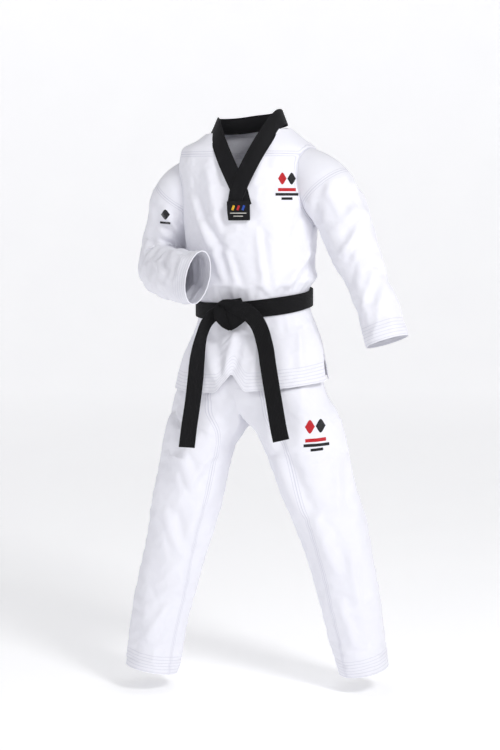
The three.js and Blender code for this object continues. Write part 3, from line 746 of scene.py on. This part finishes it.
# %% Settle all the cloth at once
hold_body = np.full(body.shape[:2], 0.45)
hold_body[heights <= BELT_TOP] = 1.0
hold_body[heights > 1262] = 1.0
for side, way in sleeves.items():  # firm round the armholes and down the lapels
    armhole = slanted_ring(way, starts[side], arm_turns)
    gap = np.min(np.linalg.norm(body[:, :, None] - armhole[None, None], axis=-1), axis=2)
    hold_body = np.maximum(hold_body, 1 - ease((gap - 10) / 30) * 0.55)
chest = oval(TORSO, CROSSING)
on_chest = body @ chest[1], body @ chest[2]
v_edge = np.abs(on_chest[0] - np.sign(on_chest[0]) * 62 * np.clip((body[..., 2] - CROSSING) / 126, 0, 1))
near_v = (on_chest[1] > 0) & (body[..., 2] > 1120) & (v_edge < 30)
hold_body = np.where(near_v, 1.0, hold_body)
cloths = {"jacket_body": (body, True, hold_body)}
for side in sleeves:
    held = np.full(arms[side].shape[:2], 0.42)
    held[:2], held[-3:] = 1.0, 0.9
    cloths[f"sleeve_{side}"] = (arms[side], True, held)
    held = np.full(halves[side].shape[:2], 0.42)
    held[leg_places < 0.2] = 1.0
    held[:, (leg_turns <= 42) | (leg_turns >= 318)] = np.where(leg_places < 2.4, 1.0, 0.42)[:, None]
    held[-3:] = 0.9
    cloths[f"trouser_{side}"] = (halves[side], True, held)
for name, grid in shaped.items():
    held = np.full(grid.shape[:2], 0.5)
    held[:4] = 1.0
    cloths[f"skirt_{name}"] = (grid, False, held)
print("settling", sum(grid[0].shape[0] * grid[0].shape[1] for grid in cloths.values()), "points of cloth")
settled = settle(cloths)

# %% [markdown]
# ## Sewing the pieces
# A settled grid becomes a finished piece: one level of subdivision for smoothness, a real thickness
# towards the inside, and two numbers on each point for the stitch rows. Its flat size is measured on
# the grid as it was cut.

# %% Sewing helpers


def cut_size(grid, closed):
    """Width and length of a grid of cloth laid flat, in metres."""
    row = np.linalg.norm((np.roll(grid, -1, 1) - grid) if closed else np.diff(grid, axis=1), axis=-1).sum(1)
    column = np.linalg.norm(np.diff(grid, axis=0), axis=-1).sum(0)
    return round(float(row.max()) / 1000, 3), round(float(column.max()) / 1000, 3)


def below_top(grid):
    """Each point's distance to the top edge of its grid, measured along the cloth."""
    steps = np.linalg.norm(np.diff(grid, axis=0), axis=-1)
    return np.vstack([np.zeros((1, grid.shape[1])), np.cumsum(steps, axis=0)])


def make_final(piece):
    """Applies the modifiers and smooths all but the sharp edges."""
    graph = bpy.context.evaluated_depsgraph_get()
    mesh = bpy.data.meshes.new_from_object(piece.evaluated_get(graph), preserve_all_data_layers=True,
                                           depsgraph=graph)
    piece.modifiers.clear()
    piece.data = mesh
    mesh.shade_smooth()
    mesh.set_sharp_from_angle(angle=math.radians(55))
    return piece


def sew(name, grid, closed, seam_mm=None, hem_mm=None, keep=None, finish=twill, thick=1.5, levels=1):
    """Makes a finished piece of cloth from a grid."""
    mesh, used, corner_row, corner_column = into_mesh(name, grid, closed, keep)
    span = np.diff(grid, axis=1, append=grid[:, :1]) if closed else np.diff(grid, axis=1)
    u = np.concatenate([[0], np.cumsum(np.linalg.norm(span, axis=-1).mean(0))]) / 1000
    v = np.concatenate([[0], np.cumsum(np.linalg.norm(np.diff(grid, axis=0), axis=-1).mean(1))]) / 1000
    layer = mesh.uv_layers.new(name="UVMap")
    layer.data.foreach_set("uv", np.stack([u[corner_column], v[corner_row]], -1).ravel())
    for key, values in (("seam_mm", seam_mm), ("hem_mm", hem_mm)):
        numbers = np.broadcast_to(400.0 if values is None else values, grid.shape[:2])
        mesh.attributes.new(key, "FLOAT", "POINT").data.foreach_set("value", numbers.ravel()[used])
    piece = place_object(name, mesh)
    mesh.materials.append(finish)
    if levels:
        smoother = piece.modifiers.new("smooth", "SUBSURF")
        smoother.levels = smoother.render_levels = levels
    wall = piece.modifiers.new("thickness", "SOLIDIFY")
    wall.thickness, wall.offset = thick / 1000, -1
    return make_final(piece)


def declare(piece, grid, closed, keep=None):
    """Prints a piece's flat size and the area of its cut."""
    width, length = cut_size(grid, closed)
    far = np.roll(grid, -1, axis=1) if closed else grid[:, 1:]
    near = grid if closed else grid[:, :-1]
    squares = np.linalg.norm(np.cross(far[1:] - near[:-1], near[1:] - far[:-1]), axis=-1) / 2e6
    area = float((squares if keep is None else squares * keep).sum())
    area = round(min(max(area, 0.3 * width * length), width * length), 4)
    print(f"  {piece.name}: cut {width:.3f} x {length:.3f} m, {area:.3f} square metres")


# %% Jacket panels
cut_body, body = body, settled["jacket_body"]
middle = (body[:-1] + body[1:]) / 2
middle = (middle + np.roll(middle, -1, axis=1)) / 2  # the middle of every square of cloth


def sleeve_gap(points, way):
    """Distance from a sleeve's surface, negative inside the sleeve, in millimetres."""
    gap = np.full(points.shape[:-1], 400.0)
    for place in np.linspace(0.2, 4.0, 40):
        centre, side, front, width, depth = way(place)
        off = points - centre
        along = np.abs(off @ np.cross(side, front))
        share = np.hypot(off @ side / width, off @ front / depth)
        gap = np.where(along < 8, np.minimum(gap, (share - 1) * (width + depth) / 2), gap)
    return gap


across, ahead = middle @ chest[1], middle @ chest[2]
keep_body = ~((ahead > 0) & (np.abs(across) < 56 * np.clip((middle[..., 2] - 1212) / 122, 0, 1)))
armhole_gap = np.full(body.shape[:2], 400.0)
for way in sleeves.values():
    keep_body &= sleeve_gap(middle, way) > -15
    armhole_gap = np.minimum(armhole_gap, sleeve_gap(body, way))
yoke_row = int(np.argmin(np.abs(heights - YOKE)))
to_yoke = np.abs(body[..., 2] - YOKE)
body_seams = np.clip(np.minimum(armhole_gap, to_yoke), -3, 400)
panels = {  # name: first and last column, rows, CAD node
    "jacket_front_panel": (90, 150, slice(0, yoke_row + 1), "jacket_front"),
    "jacket_back_panel": (30, 90, slice(0, yoke_row + 1), "jacket_back"),
    "yoke_right_panel": (60, 120, slice(yoke_row, len(heights)), "yoke_right"),
    "yoke_left_panel": (0, 60, slice(yoke_row, len(heights)), "yoke_left"),
}
jacket = {}
for name, (first, last, rows, node) in panels.items():
    columns = np.arange(first, last + 1) % len(turns)
    grid = body[rows][:, columns]
    keep = keep_body[rows.start : rows.stop - 1][:, columns[:-1]]
    jacket[name] = sew(name, grid, False, seam_mm=body_seams[rows][:, columns], keep=keep)
    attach(jacket[name], "torso")
    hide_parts(node)
    declare(jacket[name], cut_body[rows][:, columns], False,
            keep=keep)

# %% Skirt flaps
for name, (plain, to_hem) in flaps.items():
    grid = settled[f"skirt_{name}"]
    flap = sew(f"skirt_{name}_flap", grid, False, hem_mm=to_hem, thick=2.2)
    metres([8, 0, 884])
    metres([8, 0, 846])
    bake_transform(flap)
    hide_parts(f"{name}_skirt", f"{name}_hem_facing")
    declare(flap, plain, False)

# %% [markdown]
# ### Sleeves and gussets
# A sleeve is two pieces, the head on the shoulder and the long tube with its cuff. Under the arm the
# tube would leave the jacket when the arm lifts, so a real uniform has a gusset there. Here it is a
# strip folded in behind the armhole.

# %% Gusset helper
GUSSET_DEPTH = 27  # how far the strip reaches in behind the armhole


def sew_gusset(side, way, upper):
    """The strip of cloth under one arm."""
    rim = slanted_ring(way, starts[side], arm_turns)
    middle_rim = rim.mean(axis=0)
    facing_out = np.linalg.svd(rim - middle_rim)[2][2]
    facing_out *= np.sign(facing_out[0] * way(DROP)[0][0])
    reach = (rim - middle_rim) @ facing_out
    under = starts[side] > DROP - 0.3
    first = int(np.flatnonzero(under & ~np.roll(under, 1))[0])
    columns = (first + np.arange(int(under.sum()))) % len(arm_turns)
    inward = facing_out * (reach - reach.min() + GUSSET_DEPTH)[columns][:, None]
    strip = np.array([rim[columns] - inward * (1 - t) for t in np.linspace(0, 1, 7)])
    gusset = sew(f"underarm_gusset_{side}", strip, False)
    end = middle_rim + facing_out * reach.min()
    metres(end - (GUSSET_DEPTH - 1) * facing_out)
    metres(end)
    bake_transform(gusset)
    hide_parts(f"sleeve_head_{side}")
    declare(gusset, strip, False)


# %% Sleeves, with their cuffs
for side, way in sleeves.items():
    upper, lower = f"{side}_upper_sleeve", f"{side}_forearm"
    head = heads[side]
    long_enough = starts[side] < DROP - 0.02
    keep = np.broadcast_to((long_enough | np.roll(long_enough, -1))[None], (len(head) - 1, len(arm_turns)))
    to_edge = below_top(head)
    piece = sew(f"sleeve_head_{side}_panel", head, True, seam_mm=np.minimum(to_edge, to_edge[-1] - to_edge),
                keep=keep)
    along = unit(way(DROP)[0] - way(DROP - 0.4)[0])
    end = way(DROP)[0] - along * 10
    metres(end - along * 55)
    metres(end)
    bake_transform(piece)
    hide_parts(f"sleeve_head_{side}")
    declare(piece, head, True, keep=keep)
    sew_gusset(side, way, upper)
    grid = settled[f"sleeve_{side}"]
    from_top = below_top(arms[side])
    piece = sew(f"sleeve_{side}_panel", grid, True, seam_mm=from_top, hem_mm=from_top[-1] - from_top,
                thick=2.0)
    bend = (3.7, 5.9) if side == "right" else (4.1, 5.8)
    metres(way(bend[0])[0])
    metres(way(bend[1])[0])
    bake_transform(piece)
    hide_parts(f"sleeve_upper_{side}", f"elbow_gather_{side}", f"sleeve_forearm_{side}",
                f"cuff_{side}")
    declare(piece, arms[side], True)

# %% Trouser tops and legs
KNEE = 3.45  # station where the upper piece ends


def hip_bend(outer):
    """Two points at a hip, the second 112 mm further down and out; outer is 1 for the wearer's left, -1 for
    the right.
    """
    start = np.array([90 * outer, -28 * outer, 720.0])
    return metres(start), metres(start + 112 * np.array([0.6 * outer, 0, -0.8]))


for side, way in legs.items():
    outer = -1 if side == "right" else 1
    grid = settled[f"trouser_{side}"]
    inner = (leg_turns <= 24) | (leg_turns >= 330)
    cut_row = int(np.argmin(np.abs(leg_places - KNEE)))
    keep = ~(inner[None] & (leg_places[:-1] < CROTCH - 0.05)[:, None])
    turned = 90 + leg_turns if outer < 0 else 270 - leg_turns
    lean = np.interp(leg_places, [1, 8], [24, 45]) * -outer
    to_seam = 90 * np.sin(np.radians(turned[None] - lean[:, None]))
    to_seam[leg_places < 0.5] = 60
    down = below_top(halves[side])
    to_hem = down[-1] - down
    top = sew(f"trouser_top_{side}", grid[: cut_row + 1], True, seam_mm=to_seam[: cut_row + 1],
              keep=keep[:cut_row])
    start, end = hip_bend(outer)
    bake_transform(top)
    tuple(start)
    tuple(end)
    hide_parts(f"seat_{side}", f"thigh_top_{side}")
    declare(top, halves[side][: cut_row + 1], True, keep=keep[:cut_row])
    leg = sew(f"trouser_leg_{side}", grid[cut_row:], True, seam_mm=to_seam[cut_row:], hem_mm=to_hem[cut_row:],
              thick=2.0)
    metres(way(4.55)[0])
    metres(way(5.5)[0])
    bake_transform(leg)
    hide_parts(f"thigh_{side}", f"knee_gather_{side}", f"shin_{side}", f"leg_hem_{side}")
    declare(leg, halves[side][cut_row:], True)

# %% [markdown]
# ## Waistband and elastic
# The trousers are held up by an elastic in a gathered band, hidden under the belt. It is a ring of
# cloth pushed into many small pleats, with a ribbed elastic ring inside it.

# %% Waistband and elastic
fine_turns = np.arange(0, 360, 1.5)
band_pleats = 0.7 * np.sin(np.radians(fine_turns) * 60)
band = np.array([ring(oval(TORSO, h), fine_turns, -4.6 + band_pleats) for h in np.linspace(898, 934, 7)])
piece = sew("waistband_gathered", band, True, thick=0.6, levels=0)
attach(piece, "torso")
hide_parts("waistband")
declare(piece, band, True)
elastic_grid = np.array([ring(oval(TORSO, h), fine_turns, -6.2) for h in np.linspace(902, 930, 7)])
piece = sew("waist_elastic_ring", elastic_grid, True, finish=elastic, thick=1.2, levels=0)
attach(piece, "torso")
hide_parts("waist_elastic")
declare(piece, elastic_grid, True)

# %% [markdown]
# ## Straps: the collar and the belt
# A strap is drawn directly as a path with a width. Its section is a flat pad with a shallow channel at
# every stitch row: nine rows in the belt, one beside each edge of the collar. Simulation would only
# erase those channels.

# %% Strap helper


def section_outline(width, thick, lines):
    """The outline of a strap's section as (across, out) points: top from left to right, then bottom."""
    half, sink, reach = thick / 2, min(0.45, thick / 5), 1.0 / width
    top = [(0.0, -0.1 * half), (0.25 * reach, 0.75 * half), (0.9 * reach, half)]
    for line in lines:
        top += [(line - 0.8 * reach, half), (line, half - sink), (line + 0.8 * reach, half)]
    top += [(1 - 0.9 * reach, half), (1 - 0.25 * reach, 0.75 * half), (1.0, -0.1 * half)]
    return top, [(s, -z) for s, z in reversed(top[1:-1])]


def strap(name, centres, wides, faces, width=40.0, thick=3.0, lines=(), closed=False, finish=belt_cotton,
          crown=0.0):
    """A strap along a path: its middle line, the direction of its width and the way its face looks."""
    widths = np.broadcast_to(np.asarray(width, float), (len(centres),))
    top, bottom = section_outline(40.0, thick, lines)
    outline = np.array(top + bottom)
    s, z = outline[:, 0] - 0.5, outline[:, 1] + crown * (1 - (2 * outline[:, 0] - 1) ** 2)
    points = (centres[:, None] + wides[:, None] * (s[None, :, None] * widths[:, None, None])
              + faces[:, None] * z[None, :, None])
    n, m = points.shape[:2]
    ends = n if closed else n - 1
    quads, marks = [], []
    length = np.concatenate([[0], np.cumsum(np.linalg.norm(np.diff(centres, axis=0), axis=-1))]) / 1000
    length = np.append(length, length[-1] + np.linalg.norm(centres[0] - centres[-1]) / 1000)
    for i in range(ends):
        for j in range(m):
            k = (j + 1) % m
            quads.append((i * m + j, i * m + k, (i + 1) % n * m + k, (i + 1) % n * m + j))
            marks += [(s[j] * 0.04, length[i]), (s[k] * 0.04, length[i]), (s[k] * 0.04, length[i + 1]),
                      (s[j] * 0.04, length[i + 1])]
    if not closed:
        pairs = [(j, (m - j) % m) for j in range(len(top))]
        for end, order in ((0, 1), (n - 1, -1)):
            for (a, b), (c, d) in zip(pairs, pairs[1:]):
                corners = list(dict.fromkeys([a, b, d, c]))[::order]
                quads.append(tuple(end * m + q for q in corners))
                marks += [(s[q] * 0.04, length[end]) for q in corners]
    mesh = bpy.data.meshes.new(name)
    mesh.from_pydata(metres(points.reshape(-1, 3)).tolist(), [], quads)
    mesh.uv_layers.new(name="UVMap").data.foreach_set("uv", np.array(marks).ravel())
    mesh.materials.append(finish)
    mesh.validate()
    piece = place_object(name, mesh)
    graph = bpy.context.evaluated_depsgraph_get()
    graph.update()
    middle = piece.data
    spine = [Vector(point) for point in metres(centres)]
    away = sum((middle.vertices[p.vertices[0]].co - spine[min(p.index // m, n - 1)]).dot(p.normal) * p.area
               for p in middle.polygons)
    if away < 0:
        middle.flip_normals()
    middle.shade_smooth()
    middle.set_sharp_from_angle(angle=math.radians(50))
    return piece


# %% [markdown]
# ### Collar
# The collar is one long folded band. It runs up the wearer's right lapel, round the back of the neck,
# and down the left lapel, which crosses on top. At the neck it stands up; on the chest it lies flat.

# %% Collar band


def lapel(sign, lift):
    """Points of one lapel on the chest."""
    points = []
    for across, height in ((14, -58), (-2, -14), (-30, 46), (-56, 100)):
        centre, side, front, width, depth = oval(TORSO, CROSSING + height)
        x = min(0.96 * width, abs(across)) * math.copysign(1, across) * sign
        points.append(centre + side * x + front * (depth * math.sqrt(1 - (x / width) ** 2) + lift))
    return points


neck_ring = []
for turn in (-62, -90, -120, -150, -180, 150, 120, 90, 62):
    back = (abs(turn) - 62) / 118
    height = NECK + 18 * back + (6 if turn > 0 else -3) * math.sin(math.radians(turn))
    neck_ring.append(ring(oval(TORSO, height), turn, 4 - 6 * ease(2.2 * back))[0])
collar_at, collar_heading = path_through(lapel(1, 0.5) + neck_ring + lapel(-1, 5.5)[::-1])
neck_centre = oval(TORSO, NECK)[0]
steps = np.linspace(0, 16, 161)
centres = np.array([collar_at(p) for p in steps])
wides, faces = [], []
for p, centre in zip(steps, centres):
    along = collar_heading(p)
    away = unit((centre - neck_centre) * (1, 1, 0))
    lying = ease((abs(p / 16 - 0.5) - 0.16) / 0.18)
    lean = 0.08 + 0.3 * ease(abs(p / 16 - 0.5) / 0.2) + 0.12 * lying
    face = unit(away + np.array([0, 0, lean]))
    face = unit(face - along * (face @ along))
    faces.append(face)
    wides.append(unit(np.cross(along, face)))
wides, faces = np.array(wides), np.array(faces)
narrowing = 40 - 8 * ease((np.abs(steps / 16 - 0.5) - 0.44) / 0.06)
collar = strap("collar_band_folded", centres + faces * 2, wides, faces, width=narrowing, thick=4.0,
               lines=(0.09, 0.91), finish=collar_cotton)
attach(collar, "torso")
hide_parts("collar_band")

# %% [markdown]
# ### Label at the foot of the V
# A woven label covers the crossing of the lapels. It is a plain black patch with three slanted colour
# bars and two thin pale lines, a generic stand-in for whatever a club would put there.

# %% Label
label_turn = 54 / 2 / oval(TORSO, CROSSING)[3] * 180 / math.pi * 0.98
label_rows = []
for t in np.linspace(0, 1, 13):
    h = CROSSING - 46 - 44 * t
    edge = np.linspace(-1, 1, 19)
    out = 14.4 - 5.5 * ease((t - 0.45) / 0.55) - 1.2 * np.abs(edge) ** 6 - 0.8 * (2 * t - 1) ** 6
    label_rows.append(ring(oval(TORSO, h), label_turn * edge, out))
label_grid = np.array(label_rows)
label = sew("v_tab_label", label_grid, False, finish=label_weave, thick=1.8)
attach(label, "torso")
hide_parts("v_tab")
declare(label, label_grid, False)

# %% [markdown]
# ## Embroidered emblems
# Emblems are satin stitch: long parallel threads that stand a little above the cloth. Each stroke is a
# narrow grid dropped onto the finished cloth from the front, so it follows every fold. The shapes are
# plain: lozenges and bars.

# %% Embroidery helper


def stroke(name, ground, spine, finish, lift=0.8, across=7):
    """A tapered stroke: spine points are (x, height, half width) in millimetres."""
    spine = np.array(spine, float)
    finer = np.array([between(range(len(spine)), spine, t) for t in np.linspace(0, len(spine) - 1, 24)])
    run = unit(np.gradient(finer[:, :2], axis=0) + 1e-9)
    flank = np.stack([-run[:, 1], run[:, 0]], 1)
    rows = []
    for (x, h, half), n in zip(finer, flank):
        row = []
        for k in np.linspace(-1, 1, across):
            spot = metres([x + n[0] * half * k, 0, h + n[1] * half * k])
            hit, normal = None, None
            for tree in ground:
                found = tree.ray_cast(Vector((spot[0], -1.0, spot[2])), Vector((0, 1, 0)))
                if found[0] is not None and (hit is None or found[0].y < hit.y):
                    hit, normal = found[0], found[1]
            if hit is None:
                depth = rows[-1][-1][1] / 1000 if rows else 0.0
                hit, normal = Vector((spot[0], depth, spot[2])), Vector((0, -1, 0))
            if normal.y > 0:
                normal = -normal
            up = lift * (1 - 0.6 * abs(k) ** 3)
            row.append(np.array(hit + normal * up / 1000) * 1000 + (0, 0, HEMS))
        rows.append(row)
    grid = np.array(rows)
    mesh, used, corner_row, corner_column = into_mesh(name, grid, False)
    mesh.uv_layers.new(name="UVMap").data.foreach_set(
        "uv", np.stack([corner_row * 0.0016, corner_column * 0.0011], -1).ravel().astype(float))
    mesh.materials.append(finish)
    piece = place_object(name, mesh)
    if sum(p.normal.y * p.area for p in mesh.polygons) > 0:
        mesh.flip_normals()
    wall = piece.modifiers.new("thickness", "SOLIDIFY")
    wall.thickness, wall.offset = 0.0009, -1
    return make_final(piece)


def surface(*pieces):
    """Search trees of finished pieces, for dropping embroidery onto them."""
    graph = bpy.context.evaluated_depsgraph_get()
    return [BVHTree.FromObject(piece, graph) for piece in pieces]


def bar(x, h, half_length, half_width, slant=0.0):
    """The spine of a straight bar."""
    return [(x + way * half_length, h + way * slant, half_width) for way in (-1, 0, 1)]


def lozenge(x, h, half_width, half_height):
    """The spine of a lozenge."""
    return [(x - half_width, h, 0.4), (x, h, half_height), (x + half_width, h, 0.4)]


# %% Emblems
chest_ground = surface(jacket["jacket_front_panel"])
chest_emblem = {
    "red_lozenge": (lozenge(76, 1215, 10, 14), red_thread),
    "black_lozenge": (lozenge(98, 1215, 10, 14), black_thread),
    "red_bar": (bar(87, 1189, 21, 3.8), red_thread), "black_bar": (bar(87, 1178, 27, 3.2), black_thread),
    "short_bar": (bar(87, 1168, 13, 3.0), black_thread),
}
for part, (spine, thread) in chest_emblem.items():
    piece = stroke(f"chest_emblem_{part}", chest_ground, spine, thread)
    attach(piece, "torso")
    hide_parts("chest_badge")

sleeve_ground = surface(bpy.data.objects["sleeve_right_panel"])
sleeve_emblem = {"lozenge": lozenge(-205, 1130, 11, 12), "bar": bar(-206, 1110, 13, 2.6, -1)}
for part, spine in sleeve_emblem.items():
    piece = stroke(f"sleeve_emblem_{part}", sleeve_ground, spine, black_thread)
    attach(piece, "right_upper_sleeve")
    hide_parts("sleeve_badge_right")

thigh_ground = surface(bpy.data.objects["trouser_top_left"], bpy.data.objects["trouser_leg_left"])
thigh_emblem = {
    "red_lozenge": (lozenge(142, 629, 12, 16), red_thread),
    "black_lozenge": (lozenge(168, 630, 12, 16), black_thread),
    "red_bar": (bar(156, 597, 25, 4.2, 1), red_thread),
    "black_bar": (bar(158, 585, 31, 3.6, 1), black_thread),
    "short_bar": (bar(159, 574, 15, 3.4, 1), black_thread),
}
for part, (spine, thread) in thigh_emblem.items():
    piece = stroke(f"thigh_emblem_{part}", thigh_ground, spine, thread)
    start, end = hip_bend(1)
    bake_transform(piece)
    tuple(start)
    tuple(end)
    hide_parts("thigh_badge_left")

label_ground = surface(label)
middle_x = float(label_grid[6, 9, 0])
for i, thread in enumerate((yellow_thread, red_thread, blue_thread)):
    x = middle_x - 12 + 12 * i
    slanted = [(x - 2, 1141, 2.6), (x + 2, 1152, 2.6)]
    piece = stroke(f"label_bar_{i + 1}", label_ground, slanted, thread, lift=0.4)
    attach(piece, "torso")
for i, (h, half) in enumerate(((1134, 19), (1127, 11))):
    piece = stroke(f"label_line_{i + 1}", label_ground, bar(middle_x, h, half, 0.8), elastic, lift=0.3)
    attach(piece, "torso")
print("emblem strokes:", len(chest_emblem), len(sleeve_emblem), len(thigh_emblem))

# %% [markdown]
# ## The belt
# The belt is a stiff cotton strap, 40 mm wide, stitched lengthwise in rows 4 mm apart. It goes round
# twice. The second turn lies on the first, a millimetre off its edge, as it does when tied by hand.

# %% Belt turns
BELT_ROWS = tuple(np.linspace(0, 1, 11)[1:-1])
round_turns = np.arange(0, 360, 2.5)
waist = oval(TORSO, 918)
for name, node, out, shift in (("belt_inner_turn", "belt_turn_under", 2.5, -1.0),
                               ("belt_outer_turn", "belt_turn_over", 5.9, 0.4)):
    centres = ring(waist, round_turns, out) + (0, 0, shift)
    sway = 0.7 * np.sin(np.radians(round_turns) * 3 + out)
    centres[:, 2] += sway
    ahead_way = np.roll(centres, -1, axis=0) - np.roll(centres, 1, axis=0)
    faces = unit(np.cross(unit(ahead_way), (0, 0, 1.0)))
    faces *= np.sign(np.sum(faces * (centres - waist[0]), axis=1))[:, None]
    wides = unit(np.cross(faces, unit(ahead_way)))
    piece = strap(name, centres, wides, faces, thick=3.0, lines=BELT_ROWS, closed=True)
    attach(piece, "torso")
    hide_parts(node)

# %% [markdown]
# ### Knot and hanging ends
# The knot is a flat loop pulled over itself: one stretch comes down over the belt and folds under to a
# point, one lies beside it, and one crosses the top and turns down into the wearer's left end. Each is
# a short strap with its own path. The ends hang from there and are cut square.

# %% Knot
waist_side, waist_front = unit(waist[1] * (1, 1, 0)), unit(waist[2] * (1, 1, 0))


def at_waist(across, ahead, height):
    """A point by its distance across the belt's middle, ahead of the waist's middle, and height."""
    return waist[0] * (1, 1, 0) + waist_side * across + waist_front * ahead + np.array([0, 0, height])


def knot_strap(name, stations, count=40, thick=4.0, crown=1.5, ends=None):
    """A strap through stations (across, ahead, height, width, twist in degrees)."""
    stations = np.array(stations, float)
    at, heading = path_through([at_waist(*s[:3]) for s in stations])
    centres, wides, faces, widths = [], [], [], []
    for place in np.linspace(*(ends or (0, len(stations) - 1)), count):
        along = heading(place)
        width, twist = between(range(len(stations)), stations[:, 3:], place)
        wide = unit(np.cross(waist_front, along))
        face = np.cross(wide, along)
        turn = math.radians(-twist)
        wide, face = (wide * math.cos(turn) + np.cross(along, wide) * math.sin(turn),
                      face * math.cos(turn) + np.cross(along, face) * math.sin(turn))
        centres.append(at(place))
        wides.append(wide)
        faces.append(face)
        widths.append(width)
    piece = strap(name, np.array(centres), np.array(wides), np.array(faces), width=widths, thick=thick,
                  lines=BELT_ROWS, crown=crown)
    piece["strap_width"] = round(float(np.mean(widths)) / 1000, 4)
    piece["strap_length"] = float(np.linalg.norm(np.diff(centres, axis=0), axis=-1).sum()) / 1000
    return piece


RIGHT_END = [(-36, 114, 901, 34, 10), (-60, 120, 893, 37, 44), (-76, 128, 873, 39, 64),
             (-85, 135, 846, 40, 70), (-91, 140, 815, 40, 60), (-95, 143, 780, 40, 48),
             (-98, 147, 735, 40, 42), (-104, 150, 680, 40, 42), (-112, 152, 625, 40, 40),
             (-118, 153, 576, 40, 38)]
LEFT_END = [(14, 116, 908, 34, 0), (38, 121, 900, 40, 0), (57, 128, 877, 40, 0), (67, 134, 846, 40, 0),
            (77, 140, 815, 40, 0), (84, 145, 780, 40, 0), (93, 149, 735, 40, 0), (104, 153, 680, 40, 2),
            (114, 156, 630, 40, 4), (121, 158, 603, 40, 6)]
HANG = 3  # both ends hang free from this station on
knot_pieces = [
    knot_strap("knot_under_stretch", [(30, 112, 902, 34, 0), (8, 118, 900, 38, 0), (-16, 121, 897, 40, 0),
                                      (-40, 118, 896, 38, 0), (-50, 113, 896, 30, 0)]),
    knot_strap("knot_right_root", RIGHT_END, ends=(0, HANG + 0.08)),
    knot_strap("knot_loop", [(-14, 112, 917, 48, 0), (-14, 122, 919, 56, 0), (-11, 131, 908, 64, 0),
                             (-8, 133, 892, 70, 0), (-11, 130, 874, 38, 0), (-17, 125, 857, 4, 0)],
               crown=3.0),
    knot_strap("knot_side_fold", [(-42, 126, 916, 20, 0), (-42, 134, 905, 26, 6), (-38, 136, 890, 28, 8),
                                  (-29, 134, 873, 20, 8), (-18, 129, 858, 4, 4)], crown=2.0),
    knot_strap("knot_left_root", [(-46, 120, 909, 24, 0), (-28, 132, 917, 28, -20), (-6, 138, 915, 34, -16),
                                  (18, 139, 908, 38, -6), (40, 136, 893, 40, 0), (56, 133, 872, 40, 0),
                                  (67, 134, 846, 40, 0), (77, 140, 815, 40, 0)], count=60, ends=(0, 6.08)),
]
for piece in knot_pieces:
    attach(piece, "torso")
    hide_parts("belt_knot")
for side, stations in (("right", RIGHT_END), ("left", LEFT_END)):
    piece = knot_strap(f"belt_end_{side}", stations, count=90, thick=4.4, crown=0.6,
                       ends=(HANG, len(stations) - 1))
    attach(piece, f"{side}_tail")
    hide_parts(f"belt_tail_{side}")
    print(f"  belt_end_{side}: {piece['strap_length']:.3f} m")

# %% [markdown]
# ## Studio
# A white sweep with no corner gives the plain pale ground: a floor that curves up far behind, all the
# way round, so the uniform can be looked at from any side. One large soft light from the upper right
# makes the folds, a weaker one opens the shadows, and the white surroundings do the rest.

# %% Floor and lights
FLOOR = -1.382  # where the wearer's soles would be, in metres
scene.view_settings.view_transform = "Standard"
profile = [(0.0, FLOOR), (7.0, FLOOR)] + [(7.0 + 3 * math.sin(t), FLOOR + 3 * (1 - math.cos(t)))
                                          for t in np.linspace(0.1, math.pi / 2, 16)] + [(10.0, FLOOR + 6.5)]
around = np.radians(np.arange(0, 360, 5.0))
sweep = np.array([[(r * math.cos(t), r * math.sin(t), z) for t in around] for r, z in profile[1:]])
count = len(around)
points = [(0.0, 0.0, FLOOR)] + sweep.reshape(-1, 3).tolist()
faces = [(0, 1 + i, 1 + (i + 1) % count) for i in range(count)]
for r in range(len(sweep) - 1):
    for i in range(count):
        a, b = 1 + r * count + i, 1 + r * count + (i + 1) % count
        faces.append((a, a + count, b + count, b))
mesh = bpy.data.meshes.new("studio_floor")
mesh.from_pydata(points, [], faces)
mesh.shade_smooth()
floor = place_object("studio_floor", mesh)
paper, tree, shader = new_finish("white_studio_paper", roughness=0.95, sheen=0.0)
place = add_node(tree, "ShaderNodeTexCoord").outputs["Object"]
grain = add_node(tree, "ShaderNodeTexNoise", {"Vector": place, "Scale": 3.0, "Detail": 2.0}).outputs["Fac"]
tone = add_node(tree, "ShaderNodeMixRGB", {0: grain, 1: colour("#f6f6f8"), 2: colour("#fafafb")}).outputs[0]
tree.links.new(tone, shader.inputs["Base Color"])
tree.links.new(tone, shader.inputs["Emission Color"])
shader.inputs["Emission Strength"].default_value = 0.33
mesh.materials.append(paper)
floor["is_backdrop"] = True

world = bpy.data.worlds.new("studio")
world.use_nodes = True
world.node_tree.nodes["Background"].inputs["Color"].default_value = colour("#ffffff")
world.node_tree.nodes["Background"].inputs["Strength"].default_value = 0.33
scene.world = world


def softbox(name, place, target, size, power):
    """A square area light that looks at a point."""
    light = bpy.data.lights.new(name, "AREA")
    light.shape, light.size, light.energy = "SQUARE", size, power
    lamp = place_object(name, light)
    lamp.location = place
    lamp.rotation_euler = (Vector(target) - Vector(place)).to_track_quat("-Z", "Y").to_euler()


softbox("key_light", (1.9, -2.7, 1.7), (0, 0, -0.5), 0.9, 72)
softbox("fill_light", (-3.0, -3.2, 0.4), (0, 0, -0.6), 2.6, 8)
print("studio ready")

# %% Print the sizes and finish
visual_box = [list(corner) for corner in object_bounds()]
print("visual box in metres:", [[round(c, 3) for c in corner] for corner in visual_box])
